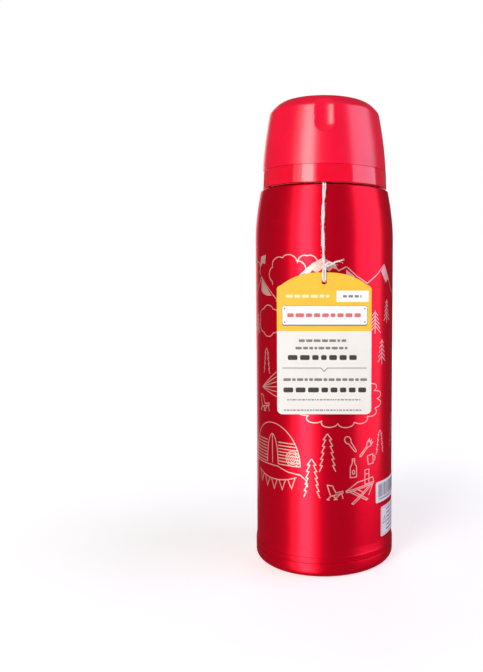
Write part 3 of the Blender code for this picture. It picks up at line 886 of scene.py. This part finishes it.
def painted_shell(material):
    """The painted skin: foot band, body, shoulder, ledge and collar under the cup."""
    heights = spaced(SHOULDER_Z, SHOULDER_Z + SHOULDER_RISE, 1.5)
    shoulder = [(float(shoulder_radius(z)), z) for z in heights]
    edge_r = shoulder[-1][0]
    under = LEDGE_Z - SHELL_WALL
    collar_z = LEDGE_Z + 2.4
    corners = [(BODY_R - SHELL_WALL, SEAM_Z), (BAND_R, SEAM_Z, 0.25)]
    corners += [(BAND_R, BAND_TOP_Z - 0.3, 0.15), (BAND_R - 0.3, BAND_TOP_Z, 0.15)]
    corners += [(BODY_R, BODY_LOW_Z, 6), *shoulder, (edge_r - 0.35, LEDGE_Z, 0.8)]
    corners += [(NECK_R + 0.7, LEDGE_Z, 0.4), (NECK_R + 0.5, collar_z, 0.2)]
    corners += [(NECK_R + 0.1, collar_z), (NECK_R + 0.1, under), (edge_r - 1.1, under)]
    corners += [(r - SHELL_WALL, z - 0.3) for r, z in reversed(shoulder)]
    return lathe("painted_shell", rounded(corners), material)


def neck(material):
    """The bare steel neck with its rolled thread for the cup."""
    low_z = LEDGE_Z - 0.4
    rows = upright(NECK_R, low_z, NECK_TOP_Z - 0.6, 0.2)
    top = [rows[-1], (NECK_R, NECK_TOP_Z, 0.4), (NECK_R - 0.7, NECK_TOP_Z)]
    outline = rows + rounded(top, closed=False)[1:] + [(NECK_R - SHELL_WALL, low_z)]
    rolled = thread(NECK_R, 1, 243.0, CUP_LEAD, turns=1.2, crest=1.1, width=1.7)
    return lathe("threaded_neck", outline, material, shift=rolled)


def flask(material):
    """The flask that holds the drink: gasket seat, inside thread and lip."""
    mouth_r = 31.7
    bore_r = FLASK_R - 0.6
    floor_z = FLASK_Z + 0.6
    outside = [(0, FLASK_Z), (FLASK_R, FLASK_Z, 12), (FLASK_R, 207, 20), (39.2, 217)]
    outside += [(35.3, 226, 5), (30.3, 231.6, 2), (30.1, 233.9), (32.3, 236.1)]
    lip = [(mouth_r + 0.7, LIP_Z - 0.7), (LIP_R, LIP_Z - 0.7, 0.3), (LIP_R, LIP_Z, 0.3)]
    mouth = [(mouth_r, LIP_Z, 0.4)] + upright(mouth_r, LIP_Z - 1.0, 240.0, 0.25)
    inside = [(mouth_r, 236.7), (29.5, 234.4, 0.8), (29.5, 231.3, 1), (34.8, 225.4, 5)]
    inside += [(38.6, 216.7), (bore_r, 206.7, 20), (bore_r, floor_z, 11.4), (0, floor_z)]
    outline = rounded(outside + lip + mouth + inside, closed=False)
    rolled = thread(mouth_r, -1, 243.5, STOPPER_LEAD, turns=1.5, crest=1.0, width=1.4)
    return lathe("steel_flask", outline, material, shift=rolled, closed=False)


def foot(material):
    """The outer bottom: standing ring, bend up to the seam, recess."""
    top = SEAM_Z - 0.12
    joint_r = BODY_R - SHELL_WALL - 0.3
    corners = [(1.5, 5), (6.5, 5, 0.4), (7.5, 3.2, 0.4), (33.6, 3.2, 0.6), (36, FLOOR_Z, 0.8)]
    corners += [(FOOT_R, FLOOR_Z, 5.6), (FOOT_R, top, 0.25), (joint_r, top)]
    corners += [(joint_r, top + 4.5), (joint_r - 0.9, top + 4.5), (joint_r - 0.9, 6, 2)]
    corners += [(39.6, 1.4), (36.6, 1.4), (34.2, 4.1), (8, 4.1), (7, 5.9), (1.5, 5.9)]
    return lathe("foot_ring", rounded(corners), material)


def base_plate(material):
    """The thin disc let into the recess, with three stamped rings."""

    def stamped(angle, r, z):
        return r, np.where(z < DISC_LOW_Z + 0.1, z + 0.22 * ripples(r, (9, 20, 29), 0.35), z)

    outline = [(r, DISC_LOW_Z) for r in spaced(0, DISC_R - 0.6, 0.25)]
    outline += [(DISC_R, DISC_LOW_Z + 0.3), (DISC_R, DISC_HIGH_Z), (0, DISC_HIGH_Z)]
    return lathe("base_plate", outline, material, shift=stamped, closed=False)


def sticker(name, node, material):
    """A film label on the body where the frame has it, and its print area."""
    low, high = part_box(node)
    start, end = atan2(low.x, -low.y), atan2(high.x, -high.y)
    bottom, top = low.z / MM, high.z / MM
    corner = 0.8
    rings = []
    for angle in spaced(start, end, 0.02):
        from_end = min(angle - start, end - angle) * BODY_R
        tuck = corner - sqrt(max(0, corner**2 - max(0, corner - from_end) ** 2))
        near, far = BODY_R + 0.02, BODY_R + 0.16
        edge = ((near, bottom + tuck), (far, bottom + tuck), (far, top - tuck), (near, top - tuck))
        rings.append([(r * sin(angle), -r * cos(angle), z) for r, z in edge])
    obj = finish_mesh(name, grid_mesh(name, np.array(rings), False, True), material)
    return obj, (start * BODY_R, end * BODY_R, bottom, top)


def bar_code(sheet, left, right, low, high, seed):
    """Bars that stand for a bar code and say nothing."""
    draws = random.Random(seed)
    across = left
    while across < right - 0.9:
        thick = draws.choice((0.3, 0.45, 0.75))
        sheet.dash(across, across + thick, low, high, soften=False)
        across += thick + draws.choice((0.35, 0.5, 0.8))


def text_rows(sheet, left, right, top, thick, seed, word, gap, rows=1, pitch=0):
    """Rows of dashes that stand for small print and say nothing."""
    draws = random.Random(seed)
    for row in range(rows):
        up = top - row * pitch
        across = left
        stop = right - draws.uniform(0, 0.18) * (right - left)
        while across < stop:
            end = min(stop, across + draws.uniform(*word))
            sheet.dash(across, end, up - thick, up)
            across = end + gap


# ---- the cup


def notched(angle, r, z):
    """Scoops the recess out of the cup's front, up over the crown."""
    half = NOTCH_WIDTH / 2
    across = r * ((angle + pi) % TAU - pi)
    below = np.maximum(0, NOTCH_LOW_Z + half - z)
    press = np.clip(1 - (np.hypot(across, below) / half) ** 2, 0, 1) ** 0.8
    outside = (r > cup_radius(z) - 0.6) | (z > crown_height(r) - 0.05)
    floor_r = cup_radius(np.minimum(z, CREASE_Z)) - NOTCH_DEPTH
    floor_r = floor_r - np.maximum(0, z - CREASE_Z) * 0.3
    spare = np.where(outside & (z > NOTCH_LOW_Z - 1), np.maximum(0, r - floor_r), 0)
    return r - spare * press, z


def cup_shell(material):
    """The cup's satin outside: cone, crease, crown and front recess."""
    heights = [*spaced(COVER_Z, NOTCH_LOW_Z - 2, 1.5)]
    heights += [*spaced(NOTCH_LOW_Z - 1.7, CREASE_Z - 0.7, 0.3)]
    side = [(float(cup_radius(z)), z) for z in heights]
    crown = [(r, float(crown_height(r))) for r in spaced(CREASE_R - 0.45, CROWN_R, 0.4)]
    top = [(r, CUP_TOP_Z) for r in spaced(CROWN_R - 2, 0, 3)]
    ceiling = [(0, 290.2), (26.5, 290.2), (29.2, 289.4), (32.4, 286.6), (33.2, 284.2)]
    inside = [(float(cup_radius(z)) - 1.8, z) for z in spaced(280, COVER_Z, 5)]
    outline = ceiling + inside + side + crown + top
    half_front = radians(14)
    fine = spaced(-half_front, half_front, radians(0.35))
    rest = spaced(half_front, TAU - half_front, TAU / FINE)[1:-1]
    angles = np.concatenate([fine, rest])
    return lathe("cup_shell", outline, material, angles, notched, closed=False)


def cup_band(material):
    """The glossy band at the cup's mouth with the thread inside."""
    bore, step_r = 36.75, 37.3
    under, over = COVER_Z - 0.15, COVER_Z + 0.1
    corners = [(bore + 0.3, RIM_Z), (RIM_R, RIM_Z, 0.7), (RIM_R - 0.4, under, 0.3)]
    corners += [(38.6, under), (38.6, over), (step_r, over), (step_r, SPIGOT_Z, 0.3)]
    rows = upright(bore, SPIGOT_Z - 1, RIM_Z + 1, 0.25)
    outline = rounded(corners + [(bore, SPIGOT_Z, 0.3), rows[0]], closed=False) + rows[1:]
    rolled = thread(bore, -1, 241.7, CUP_LEAD, turns=1.0, crest=2.5, width=1.7)
    return lathe("cup_band", outline, material, shift=rolled)


def cup_bowl(material):
    """The bowl that is drunk from, with two rings pressed into its wall."""
    inner, wall = 33.85, 0.75
    ceiling = LINER_TOP_Z - wall

    def ringed(angle, r, z):
        return np.where(np.abs(r - inner) < 0.05, r + 0.12 * ripples(z, (262, 269), 0.25), r), z

    rows = upright(inner, 255.5, 275, 0.3)
    over = [(0, ceiling), (25.6, ceiling, 3), (30.6, 286.0, 4), (inner, 276.0, 4), rows[-1]]
    rim = [rows[0], (inner, LINER_Z, 0.3), (LINER_FLANGE_R, LINER_Z, 0.3)]
    rim += [(LINER_FLANGE_R, LINER_Z + 0.8, 0.3), (inner + wall, 254.9)]
    rim += [(inner + wall, 276.2, 4), (31.2, 286.5, 4), (26.0, LINER_TOP_Z), (0, LINER_TOP_Z)]
    outline = rounded(over, closed=False) + rows[::-1][1:-1] + rounded(rim, closed=False)
    return lathe("cup_bowl_wall", outline, material, shift=ringed, closed=False)


# ---- the stopper


def gripped(angle, r, z):
    """Presses twelve finger panels into the stopper's grip."""
    panels = 12
    half_width, half_height, middle, corner = 6.2, 5.6, 262.4, 1.6
    sector = (angle % (TAU / panels)) - TAU / panels / 2
    across = np.abs(sector) * GRIP_R - half_width
    up = np.abs(z - middle) - half_height
    gap = np.hypot(np.maximum(across + corner, 0), np.maximum(up + corner, 0)) - corner
    depth = np.clip(-gap / 0.9, 0, 1)
    press = depth * depth * (3 - 2 * depth)
    return np.where(r > GRIP_R - 0.05, r - 1.1 * press, r), z


def stopper_grip(material):
    """The stopper's top: grip ring, sloping shoulder, deck and slots."""
    deck_r, grip_top, hole = 24.8, 270.6, BUTTON_TOP_R + 0.4
    rows = upright(GRIP_R, GRIP_Z + 1, grip_top - 1.4, 0.3)
    bottom = [(GRIP_R - 1.5, GRIP_Z), (GRIP_R, GRIP_Z, 0.5), rows[0]]
    top = [rows[-1], (GRIP_R, grip_top, 1.0), (deck_r, DECK_Z, 1.2), (hole, DECK_Z, 0.4)]
    top += [(hole, DECK_Z - 2)]
    inner = [(deck_r - 0.9, DECK_Z - 2), (GRIP_R - 1.5, grip_top - 1.6)]
    outline = rounded(bottom, closed=False) + rows[1:] + rounded(top, closed=False)[1:] + inner
    angles = np.arange(360) / 360 * TAU
    grip = lathe("stopper_grip", outline, material, angles, gripped)
    pour = block("pour_cutter", (20, 8, 3), (0, -25.5, DECK_Z - 2.9), material, 0.8)
    vent = block("vent_cutter", (5, 8, 1.8), (0, 26.5, DECK_Z - 4.0), material, 0.5)
    return cut(grip, pour, vent)


def pour_mark(material):
    """The mark on the deck for the pouring side: bar, ticks and chevron."""
    mark = Print()
    mark.line([(-4.5, -17.5), (4.5, -17.5)], 0.5)
    for side in (5.5, -5.5):
        mark.line([(side, -17.2), (side * 0.6, -15.8)], 0.5)
    mark.line([(-1.4, -19.0), (0, -20.4), (1.4, -19.0)], 0.6)
    return mark.laid("pour_mark", material, lambda x, y: (x, y, DECK_Z + 0.03))


def stopper_body(material):
    """The plug below the grip with its outside thread."""
    core, top = 30.2, GRIP_Z - 0.1
    rows = upright(core, 240.2, top - 0.2, 0.25)
    foot_part = [(8.8, 234), (28.4, 234, 0.7), (28.4, 239.0, 0.4), rows[0]]
    outline = rounded(foot_part, closed=False) + rows[1:] + [(31.4, top + 0.5), (31.4, top + 1.3)]
    outline += [(core - 1.4, top + 1.3), (core - 1.4, 240.2), (27, 238.9), (27, 235.5), (8.8, 235.5)]
    rolled = thread(core, 1, 241.5, STOPPER_LEAD, turns=1.25, crest=1.0, width=1.4)
    return lathe("stopper_body", outline, material, shift=rolled)


def press_button(material):
    """The button: a dished top with a raised edge and fine ribs."""
    top, r = BUTTON_Z, BUTTON_TOP_R
    dish = [(x, top - 0.5 + 0.5 * (x / (r - 1.4)) ** 2) for x in spaced(0, r - 1.4, 0.25)]
    side = [dish[-1], (r, top, 0.9), (r, top - 10.3), (r + 1.4, top - 10.3)]
    outline = dish + rounded(side, closed=False)[1:]
    outline += [(r + 1.4, top - 11.5), (r - 1.2, top - 11.5), (r - 1.2, top - 1.8), (0, top - 1.8)]

    def ribbed(angle, radius, z):
        ribs = ripples(radius, (3.0, 4.5, 6.0), 0.22)
        return radius, np.where(z > top - 0.6, z + 0.14 * ribs * (radius < r - 1.5), z)

    return lathe("press_button", outline, material, shift=ribbed, closed=False)


# ---- string and tag


def yarn(path, strand_r=STRAND_R, pitch=2.9, phase=0.0):
    """Two plies twisted round a path: a list of tube meshes."""
    path = np.array(path, float)
    lengths = np.concatenate([[0], np.cumsum(np.linalg.norm(np.diff(path, axis=0), axis=1))])
    stations = spaced(0, lengths[-1], 0.3)
    centre = np.stack([np.interp(stations, lengths, path[:, k]) for k in range(3)], 1)
    rings = sweep_points(centre, strand_r, 4)
    meshes = []
    for half_turn in (0, pi):
        turn = (stations / pitch * TAU + phase + half_turn)[:, None]
        offset = (rings[:, 0] - centre) * np.cos(turn) + (rings[:, 1] - centre) * np.sin(turn)
        meshes.append(capped_tube(centre + offset * 0.92, strand_r, 7))
    return meshes


def smooth_path(corners, step=0.8):
    """A smooth path through corner points, as a Catmull-Rom curve."""
    knots = [np.array(c, float) for c in corners]
    knots = [2 * knots[0] - knots[1]] + knots + [2 * knots[-1] - knots[-2]]
    points = []
    for a, b, c, d in zip(knots, knots[1:], knots[2:], knots[3:]):
        count = max(2, int(np.linalg.norm(c - b) / step))
        bend = 2 * a - 5 * b + 4 * c - d
        twist = 3 * b - a - 3 * c + d
        for t in np.arange(count) / count:
            points.append(0.5 * (2 * b + (c - a) * t + bend * t**2 + twist * t**3))
    points.append(knots[-2])
    return points


def sway(z):
    """How far the hanging strands stand aside at height z."""
    return -0.75 * sin((STRANDS_Z - z) / 15.0)


def hanging_strand(sign, draws):
    """One of the two strands between the neck and the knot."""
    corners = [(sign * 0.6, *STRING_PIVOT[1:])]
    for z in np.arange(STRANDS_Z, KNOT_Z + 3, -2.2):
        turn = (STRANDS_Z - z) / STRAND_PITCH * TAU
        aside = sway(z) + draws.uniform(-0.12, 0.12)
        near = -float(shoulder_radius(z)) - 1.0
        corners.append((aside + sign * 0.52 * cos(turn), near - sign * 0.3 * sin(turn), z))
    corners.append((sign * 0.4, TAG_FRONT_Y + 0.2, KNOT_Z))
    return yarn(smooth_path(corners), phase=sign)


def from_knot(*steps):
    """Points given as (x, y from the card's front, z from the knot)."""
    return [(x, TAG_FRONT_Y + y, KNOT_Z + z) for x, y, z in steps]


def frayed_end(end, draws):
    """The fibres that spread from a cut end."""
    meshes = []
    for _ in range(9):
        spread = [draws.uniform(0.8, 3.0), draws.uniform(-0.3, 0.5), draws.uniform(-1.6, 1.6)]
        middle, tip = ([e + s * share for e, s in zip(end, spread)] for share in (0.5, 1))
        middle[2] += draws.uniform(-0.3, 0.3)
        meshes.append(capped_tube(smooth_path([end, middle, tip], 0.5), 0.07, 4))
    return meshes


def stray_fibre(draws):
    """A fine fibre that stands off one of the hanging strands."""
    z = draws.uniform(KNOT_Z + 2, STRANDS_Z)
    side = draws.choice((-1, 1))
    y = -float(shoulder_radius(z)) - 1.0
    start = (sway(z) + side * 0.5, y, z)
    out = sway(z) + side * draws.uniform(1.1, 1.7)
    end = (out, y - draws.uniform(-0.2, 0.5), z + draws.uniform(-1.2, 1.2))
    middle = [(a + b) / 2 for a, b in zip(start, end)]
    return capped_tube([start, middle, end], 0.035, 3)


def hanging_string(material):
    """Two strands down to a knot, a loop through the tag, loose ends."""
    draws = random.Random(7)
    meshes = hanging_strand(-1, draws) + hanging_strand(1, draws)
    for sign in (-1, 1):
        loop = from_knot((sign * 0.35, -0.5, 0), (sign * 0.75, -0.75, -4), (sign * 0.55, -0.65, -7))
        loop.append((sign * 0.4, TAG_FRONT_Y - 0.5, HOLE_Z + 0.7))
        loop.append((sign * 0.4, TAG_FRONT_Y + 0.35, HOLE_Z + 0.2))
        meshes += yarn(smooth_path(loop, 0.5), phase=2 * sign)
    knot = []
    for k, a in enumerate(np.linspace(0, 2.2 * TAU, 30)):
        knot.append((1.25 * cos(a), -0.1 + 0.5 * sin(2 * a), -1.1 + 0.08 * k + 0.16 * sin(a)))
    meshes += yarn(from_knot(*knot), STRAND_R * 0.9, 2.4)
    tail = from_knot((0.8, 0, 0), (3.4, -0.4, 0.8), (6.6, 0, 2.6), (9.2, 0.6, 3.2))
    back = from_knot((0.6, -0.2, 0.6), (2.6, -0.6, 2.4), (5.4, -0.3, 1.6))
    for phase, end in enumerate((tail, back)):
        meshes += yarn(smooth_path(end, 0.5), phase=phase)
    for end in (tail, back):
        meshes += frayed_end(end[-1], draws)
    meshes += [stray_fibre(draws) for _ in range(60)]
    return joined("hanging_string", meshes, material)


def neck_string(material):
    """The loop of string in the slit between the ledge and the cup."""
    radius, height = 34.95, LEDGE_Z + 0.42
    spread = asin(0.6 / radius)
    front = [STRING_PIVOT[1:], (-42.2, 237.2), (-41.2, height)]
    front += [(-40.2, height + 0.1), (-38.0, height)]
    round_neck = spaced(spread, TAU - spread, 0.03)
    path = [(0.6, y, z) for y, z in front]
    path += [(radius * sin(a), -radius * cos(a), height) for a in round_neck]
    path += [(-0.6, y, z) for y, z in reversed(front)]
    return joined("neck_string", yarn(path, 0.22), material)


def tag_top(across):
    """The height of the tag's arched top."""
    return TAG_TOP_Z - 9.4 * (abs(across) / TAG_HALF) ** 2.56


def tag_card(material):
    """The card: round corners, an arched top and a punched hole."""
    half = TAG_HALF
    top = [(x, tag_top(x)) for x in spaced(half - 2.4, -half + 2.4, 1.6)]
    shoulder = tag_top(half - 2.4) - 1.2
    corners = [(-half, TAG_LOW_Z, 3), (half, TAG_LOW_Z, 3), (half, shoulder, 2.4)]
    outline = rounded(corners + top + [(-half, shoulder, 2.4)])
    bm = bmesh.new()
    face = bm.faces.new([bm.verts.new((x * MM, TAG_FRONT_Y * MM, z * MM)) for x, z in outline])
    grown = bmesh.ops.extrude_face_region(bm, geom=[face])
    moved = [v for v in grown["geom"] if isinstance(v, bmesh.types.BMVert)]
    bmesh.ops.translate(bm, verts=moved, vec=(0, (TAG_BACK_Y - TAG_FRONT_Y) * MM, 0))
    card = finish_mesh("tag_panel", baked(bm, "tag_panel"), material)
    bm = bmesh.new()
    turn = Matrix.Translation((0, TAG_FRONT_Y * MM, HOLE_Z * MM)) @ Matrix.Rotation(pi / 2, 4, "X")
    sizes = {"radius1": HOLE_R * MM, "radius2": HOLE_R * MM, "depth": 6 * MM}
    bmesh.ops.create_cone(bm, cap_ends=True, segments=48, matrix=turn, **sizes)
    return cut(card, finish_mesh("punch", baked(bm, "punch"), material))


def dashes(sheet, *rows):
    """Adds rows of dashes to a print."""
    for row in rows:
        text_rows(sheet, *row)
    return sheet


def tag_prints(white, grey, black, red, pale):
    """Generic print on the tag, with nothing to read."""
    plate, shadow, outline = Print(), Print(), Print()
    plate.patch(rounded(rectangle(7.2, 26.2, 167.7, 174.3, 0.4)))
    plate.patch(rounded(rectangle(-24.8, 25.4, 154.2, 165.4, 1.4)))
    shadow.patch(rounded(rectangle(-24.8, 25.4, 153.5, 164.7, 1.4)))
    outline.line(rounded(rectangle(-24.8, 25.4, 154.2, 165.4, 1.4)), 0.25, closed=True)
    for x, z in ((-23.3, 155.8), (-23.3, 163.8), (23.9, 155.8), (23.9, 163.8)):
        outline.patch(ellipse((x, z), 0.5, 0.5, 0, 345, 12))
    small = dashes(
        Print(),
        (-15.0, 16.5, 145.6, 1.5, 5, (1.6, 4.2), 0.8),
        (-17.0, 18.8, 141.2, 1.5, 6, (1.6, 4.2), 0.8),
        (-24.2, 27.4, 122.5, 1.6, 8, (1.6, 4.6), 0.8),
        (-22.0, 26.0, 110.0, 0.7, 9, (0.7, 2.2), 0.45),
        (-24.0, 27.4, 103.8, 0.7, 10, (0.7, 2.2), 0.45),
        (11.0, 22.4, 171.7, 1.4, 4, (2.2, 3.6), 0.9),
    )
    bold = Print()
    bold.line([(-24.8, 128.6), (-1.9, 128.6), (0, 126.6), (1.9, 128.6), (25.2, 128.6)], 0.36)
    dashes(
        bold,
        (-21.5, 23.0, 136.3, 2.9, 12, (3.2, 7.0), 1.5),
        (-24.2, 27.2, 117.0, 2.9, 13, (3.2, 7.0), 1.5),
    )
    bright = dashes(Print(), (-22.6, 4.2, 172.0, 1.9, 3, (2.6, 5.5), 0.8))
    ruby = dashes(Print(), (-21.8, 25.4, 161.0, 2.3, 11, (2.2, 5.2), 1.1))
    return [
        shadow.laid("tag_panel_shadow", grey, on_tag(0.02)),
        plate.laid("tag_white_panels", white, on_tag(0.04)),
        outline.laid("tag_panel_edge", grey, on_tag(0.06)),
        bright.laid("tag_pale_bar", pale, on_tag(0.03)),
        ruby.laid("tag_red_dashes", red, on_tag(0.07)),
        small.laid("tag_grey_dashes", grey, on_tag(0.05)),
        bold.laid("tag_black_dashes", black, on_tag(0.05)),
    ]


# ---- putting it together


def settle(obj, body, slot, *nodes):
    """Sets a piece's body and hides the CAD nodes it stands for; slot, its finish, is not used."""
    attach(obj, body)
    if nodes:
        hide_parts(*nodes)


def dress(node, material):
    """Gives a carried-over CAD node its material."""
    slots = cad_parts[node].data.materials
    slots.clear()
    slots.append(material)


body_paint = lacquer("body_lacquer", (0.9, 0.001, 0.022), 0.38, 7.0)
cup_satin = moulded("cup_satin_red", (0.9, 0.001, 0.034), 0.26, 0.0025, 0.02, specular=0.75)
cup_gloss = moulded("cup_gloss_red", (0.88, 0.001, 0.026), 0.12, 0.0008, 0.015, coat=0.6)
bright_steel = steel("polished_steel", (0.74, 0.73, 0.71), 0.26, (0.03, 0.03, 5.0))
plate_steel = turned_steel("turned_steel", (0.66, 0.66, 0.65), 0.34)
wire_steel = steel("wire_steel", (0.72, 0.72, 0.72), 0.22, (2, 2, 2))
tin = steel("solder_tin", (0.45, 0.45, 0.43), 0.5, (1, 1, 1), 0.02)
copper_foil = steel("copper_foil", (0.86, 0.5, 0.32), 0.25, (0.4, 0.4, 0.4), 0.05)
pellet_grey = moulded("pellet_grey", (0.16, 0.16, 0.17), 0.8, 0.03)
film = label_film("label_film", (0.9, 0.88, 0.84))
bowl_plastic = moulded("bowl_grey", (0.7, 0.71, 0.72), 0.22, 0.001)
grip_plastic = moulded("stopper_grey", (0.5, 0.5, 0.48), 0.36, 0.006)
button_plastic = moulded("button_grey", (0.3, 0.3, 0.31), 0.36, 0.006)
milky = rubber("silicone", (0.85, 0.85, 0.82))
foam = soft_foam("white_foam", (0.9, 0.9, 0.88))
cotton = cord("cotton", (0.92, 0.88, 0.83))
art_ink = ink("art_ink", (0.95, 0.52, 0.45), 0.6, 0.42)
card = two_zone_card("tag_card", (1.0, 0.56, 0.035), (0.86, 0.83, 0.76), 150.5)
white_ink = ink("white_ink", (0.93, 0.93, 0.95), fade=0.97)
grey_ink = ink("grey_ink", (0.22, 0.21, 0.19))
black_ink = ink("black_ink", (0.03, 0.03, 0.03))
red_ink = ink("red_ink", (0.75, 0.16, 0.14))
pale_ink = ink("pale_ink", (1.0, 0.86, 0.45))
label_ink = ink("label_ink", (0.16, 0.19, 0.22))

settle(painted_shell(body_paint), "bottle", "body_paint", "outer_shell")
settle(neck(bright_steel), "bottle", "flask_steel", "outer_shell")
settle(flask(bright_steel), "bottle", "flask_steel", "inner_flask")
settle(foot(body_paint), "bottle", "body_paint", "bottom_cap")
settle(base_plate(plate_steel), "bottle", "disc_steel", "base_disc")
for material, *nodes in (
    (tin, "seal_bead"),
    (copper_foil, "radiation_foil"),
    (pellet_grey, "getter_pellet"),
    (wire_steel, "getter_clip", "valve_stem", "valve_spring"),
    (foam, "cup_insulation", "stopper_foam"),
    (grip_plastic, "valve_guide", "valve_disc"),
    (milky, "valve_gasket", "stopper_gasket"),
):
    for node in nodes:
        dress(node, material)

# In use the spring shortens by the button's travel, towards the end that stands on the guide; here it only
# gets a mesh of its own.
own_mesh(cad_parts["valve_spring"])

for name, sheet in (
    ("sky_print", sky_art()),
    ("mountain_print", mountain_art()),
    ("tree_print", tree_art()),
    ("camp_print", art(CAMP)),
):
    settle(sheet.laid(name, art_ink, on_body(ART_LIFT)), "bottle", "body_paint")

bar_label, (left, right, low, high) = sticker("bar_label", "barcode_label", film)
settle(bar_label, "bottle", "label_film", "barcode_label")
bars = Print()
bar_code(bars, left + 2.2, right - 2.2, low + 3.4, high - 1.6, 21)
text_rows(bars, left + 3, right - 3, low + 2.6, 1.2, 22, (0.5, 0.9), 0.5)
settle(bars.laid("bar_label_print", label_ink, on_body(LABEL_LIFT)), "bottle", "label_film")

small_label, (left, right, low, high) = sticker("small_label", "care_label", film)
settle(small_label, "bottle", "label_film", "care_label")
rows = Print()
edge = rectangle(left + 1, right - 1, low + 1, high - 1, 0.5)
triangle = [(left + 2.2, low + 8.2), (left + 4.3, low + 12.4), (left + 6.4, low + 8.2)]
rows.line(rounded(edge), 0.22, closed=True)
text_rows(rows, left + 7.5, right - 2.2, high - 2.4, 1.1, 23, (0.6, 1.6), 0.4, rows=6, pitch=2.6)
rows.line(triangle, 0.4, closed=True)
settle(rows.laid("small_label_print", label_ink, on_body(LABEL_LIFT)), "bottle", "label_film")

settle(cup_shell(cup_satin), "cup", "cup_satin", "cup_cover")
settle(cup_band(cup_gloss), "cup", "cup_gloss", "cup_rim")
settle(cup_bowl(bowl_plastic), "cup_bowl", "liner_plastic", "cup_liner")
settle(stopper_grip(grip_plastic), "stopper", "stopper_plastic", "stopper_cap")
settle(pour_mark(button_plastic), "stopper", "button_plastic")
settle(stopper_body(grip_plastic), "stopper", "stopper_plastic", "stopper_plug")
settle(press_button(button_plastic), "button", "button_plastic", "push_button")

settle(neck_string(cotton), "bottle", "cotton", "string_loop")
settle(hanging_string(cotton), "tag", "cotton", "tag_string")
settle(tag_card(card), "tag", "tag_card", "hang_tag")
for piece in tag_prints(white_ink, grey_ink, black_ink, red_ink, pale_ink):
    settle(piece, "tag", "tag_card")


# ---- stage, light and camera

ROOM_LEVEL = 0.1
FLOOR_GLOW = 0.62
CAMERA_SPOT = (0, -0.4508, 0.1795)
LOOKS_DOWN = radians(3.72)


def add_floor():
    """A pale floor that stays just short of white round the bottle's foot."""
    material, tree = start_material("pale_floor")
    pale = two_tone(tree, grain(tree, 0.05), (0.58, 0.58, 0.58), (0.6, 0.6, 0.6))
    away = add(tree, "VectorMath", {0: place(tree)}, operation="LENGTH").outputs["Value"]
    reach_out = {"From Min": 120.0, "From Max": 600.0}
    inputs = {"Value": away, "To Min": FLOOR_GLOW, "To Max": 1.0, **reach_out}
    spread = add(tree, "MapRange", inputs).outputs["Result"]
    factors = {0: add(tree, "LightPath").outputs["Is Camera Ray"], 1: spread}
    glow = add(tree, "Math", factors, operation="MULTIPLY").outputs[0]
    link(tree, Base_Color=pale, Roughness=0.9)
    link(tree, Emission_Color=(1, 1, 1, 1), Emission_Strength=glow)
    size = 6.0
    mesh = bpy.data.meshes.new("floor")
    corners = [(-size, -size), (size, -size), (size, size), (-size, size)]
    mesh.from_pydata([(x, y, -0.0002) for x, y in corners], [], [(0, 1, 2, 3)])
    mesh.materials.append(material)
    floor = bpy.data.objects.new("floor", mesh)
    bpy.context.scene.collection.objects.link(floor)
    floor.visible_glossy = False
    floor.visible_shadow = False


def add_world():
    """White behind the object, a quiet grey room in its reflections."""
    world = bpy.data.worlds.new("studio")
    bpy.context.scene.world = world
    world.use_nodes = True
    tree = world.node_tree
    tree.nodes.clear()
    room = add(tree, "Background", {"Color": (1, 1, 1, 1), "Strength": ROOM_LEVEL})
    white = add(tree, "Background", {"Color": (1, 1, 1, 1), "Strength": 1.0})
    camera_ray = add(tree, "LightPath").outputs["Is Camera Ray"]
    both = add(tree, "MixShader", {0: camera_ray, 1: room.outputs[0], 2: white.outputs[0]})
    out = tree.nodes.new("ShaderNodeOutputWorld")
    tree.links.new(both.outputs[0], out.inputs["Surface"])


def add_softbox(name, azimuth, height, away, size, radiance, color=(1, 1, 1), tilt=0.0):
    """A soft light at an azimuth, facing the bottle's axis; lengths in metres."""
    data = bpy.data.lights.new(name, "AREA")
    data.shape = "RECTANGLE"
    data.size, data.size_y = size
    data.energy = radiance * size[0] * size[1] * pi
    data.color = color
    light = bpy.data.objects.new(name, data)
    bpy.context.scene.collection.objects.link(light)
    angle = radians(azimuth)
    light.location = (away * sin(angle), -away * cos(angle), height)
    aim = Vector((0, 0, height - tan(radians(tilt)) * away)) - light.location
    light.rotation_euler = aim.to_track_quat("-Z", "Y").to_euler()
    light.visible_camera = False


def add_camera():
    """The photograph's viewpoint: a little below the cup, looking slightly down."""
    data = bpy.data.cameras.new("camera")
    data.sensor_width = 36.0
    data.lens = 36.87
    data.shift_x = -0.1231
    data.shift_y = -0.0141
    camera = bpy.data.objects.new("camera", data)
    bpy.context.scene.collection.objects.link(camera)
    camera.location = CAMERA_SPOT
    camera.rotation_euler = (pi / 2 - LOOKS_DOWN, 0, 0)
    bpy.context.scene.camera = camera


add_floor()
add_world()
for azimuth, width, radiance in ((-35, 0.8, 1.0), (-32, 0.54, 0.9), (-29.5, 0.36, 4.3)):
    add_softbox("key", azimuth, 0.1, 1.0, (width, 2.0), radiance)
add_softbox("side", 79, 0.55, 1.0, (1.0, 1.5), 2.5, (0.8, 0.72, 1.0))
add_softbox("back", 190, 0.3, 1.4, (1.1, 1.4), 1.5)
add_softbox("top", 0, 1.3, 0.4, (1.2, 0.5), 0.16, tilt=68)
add_camera()
bpy.context.scene.view_settings.view_transform = "Standard"
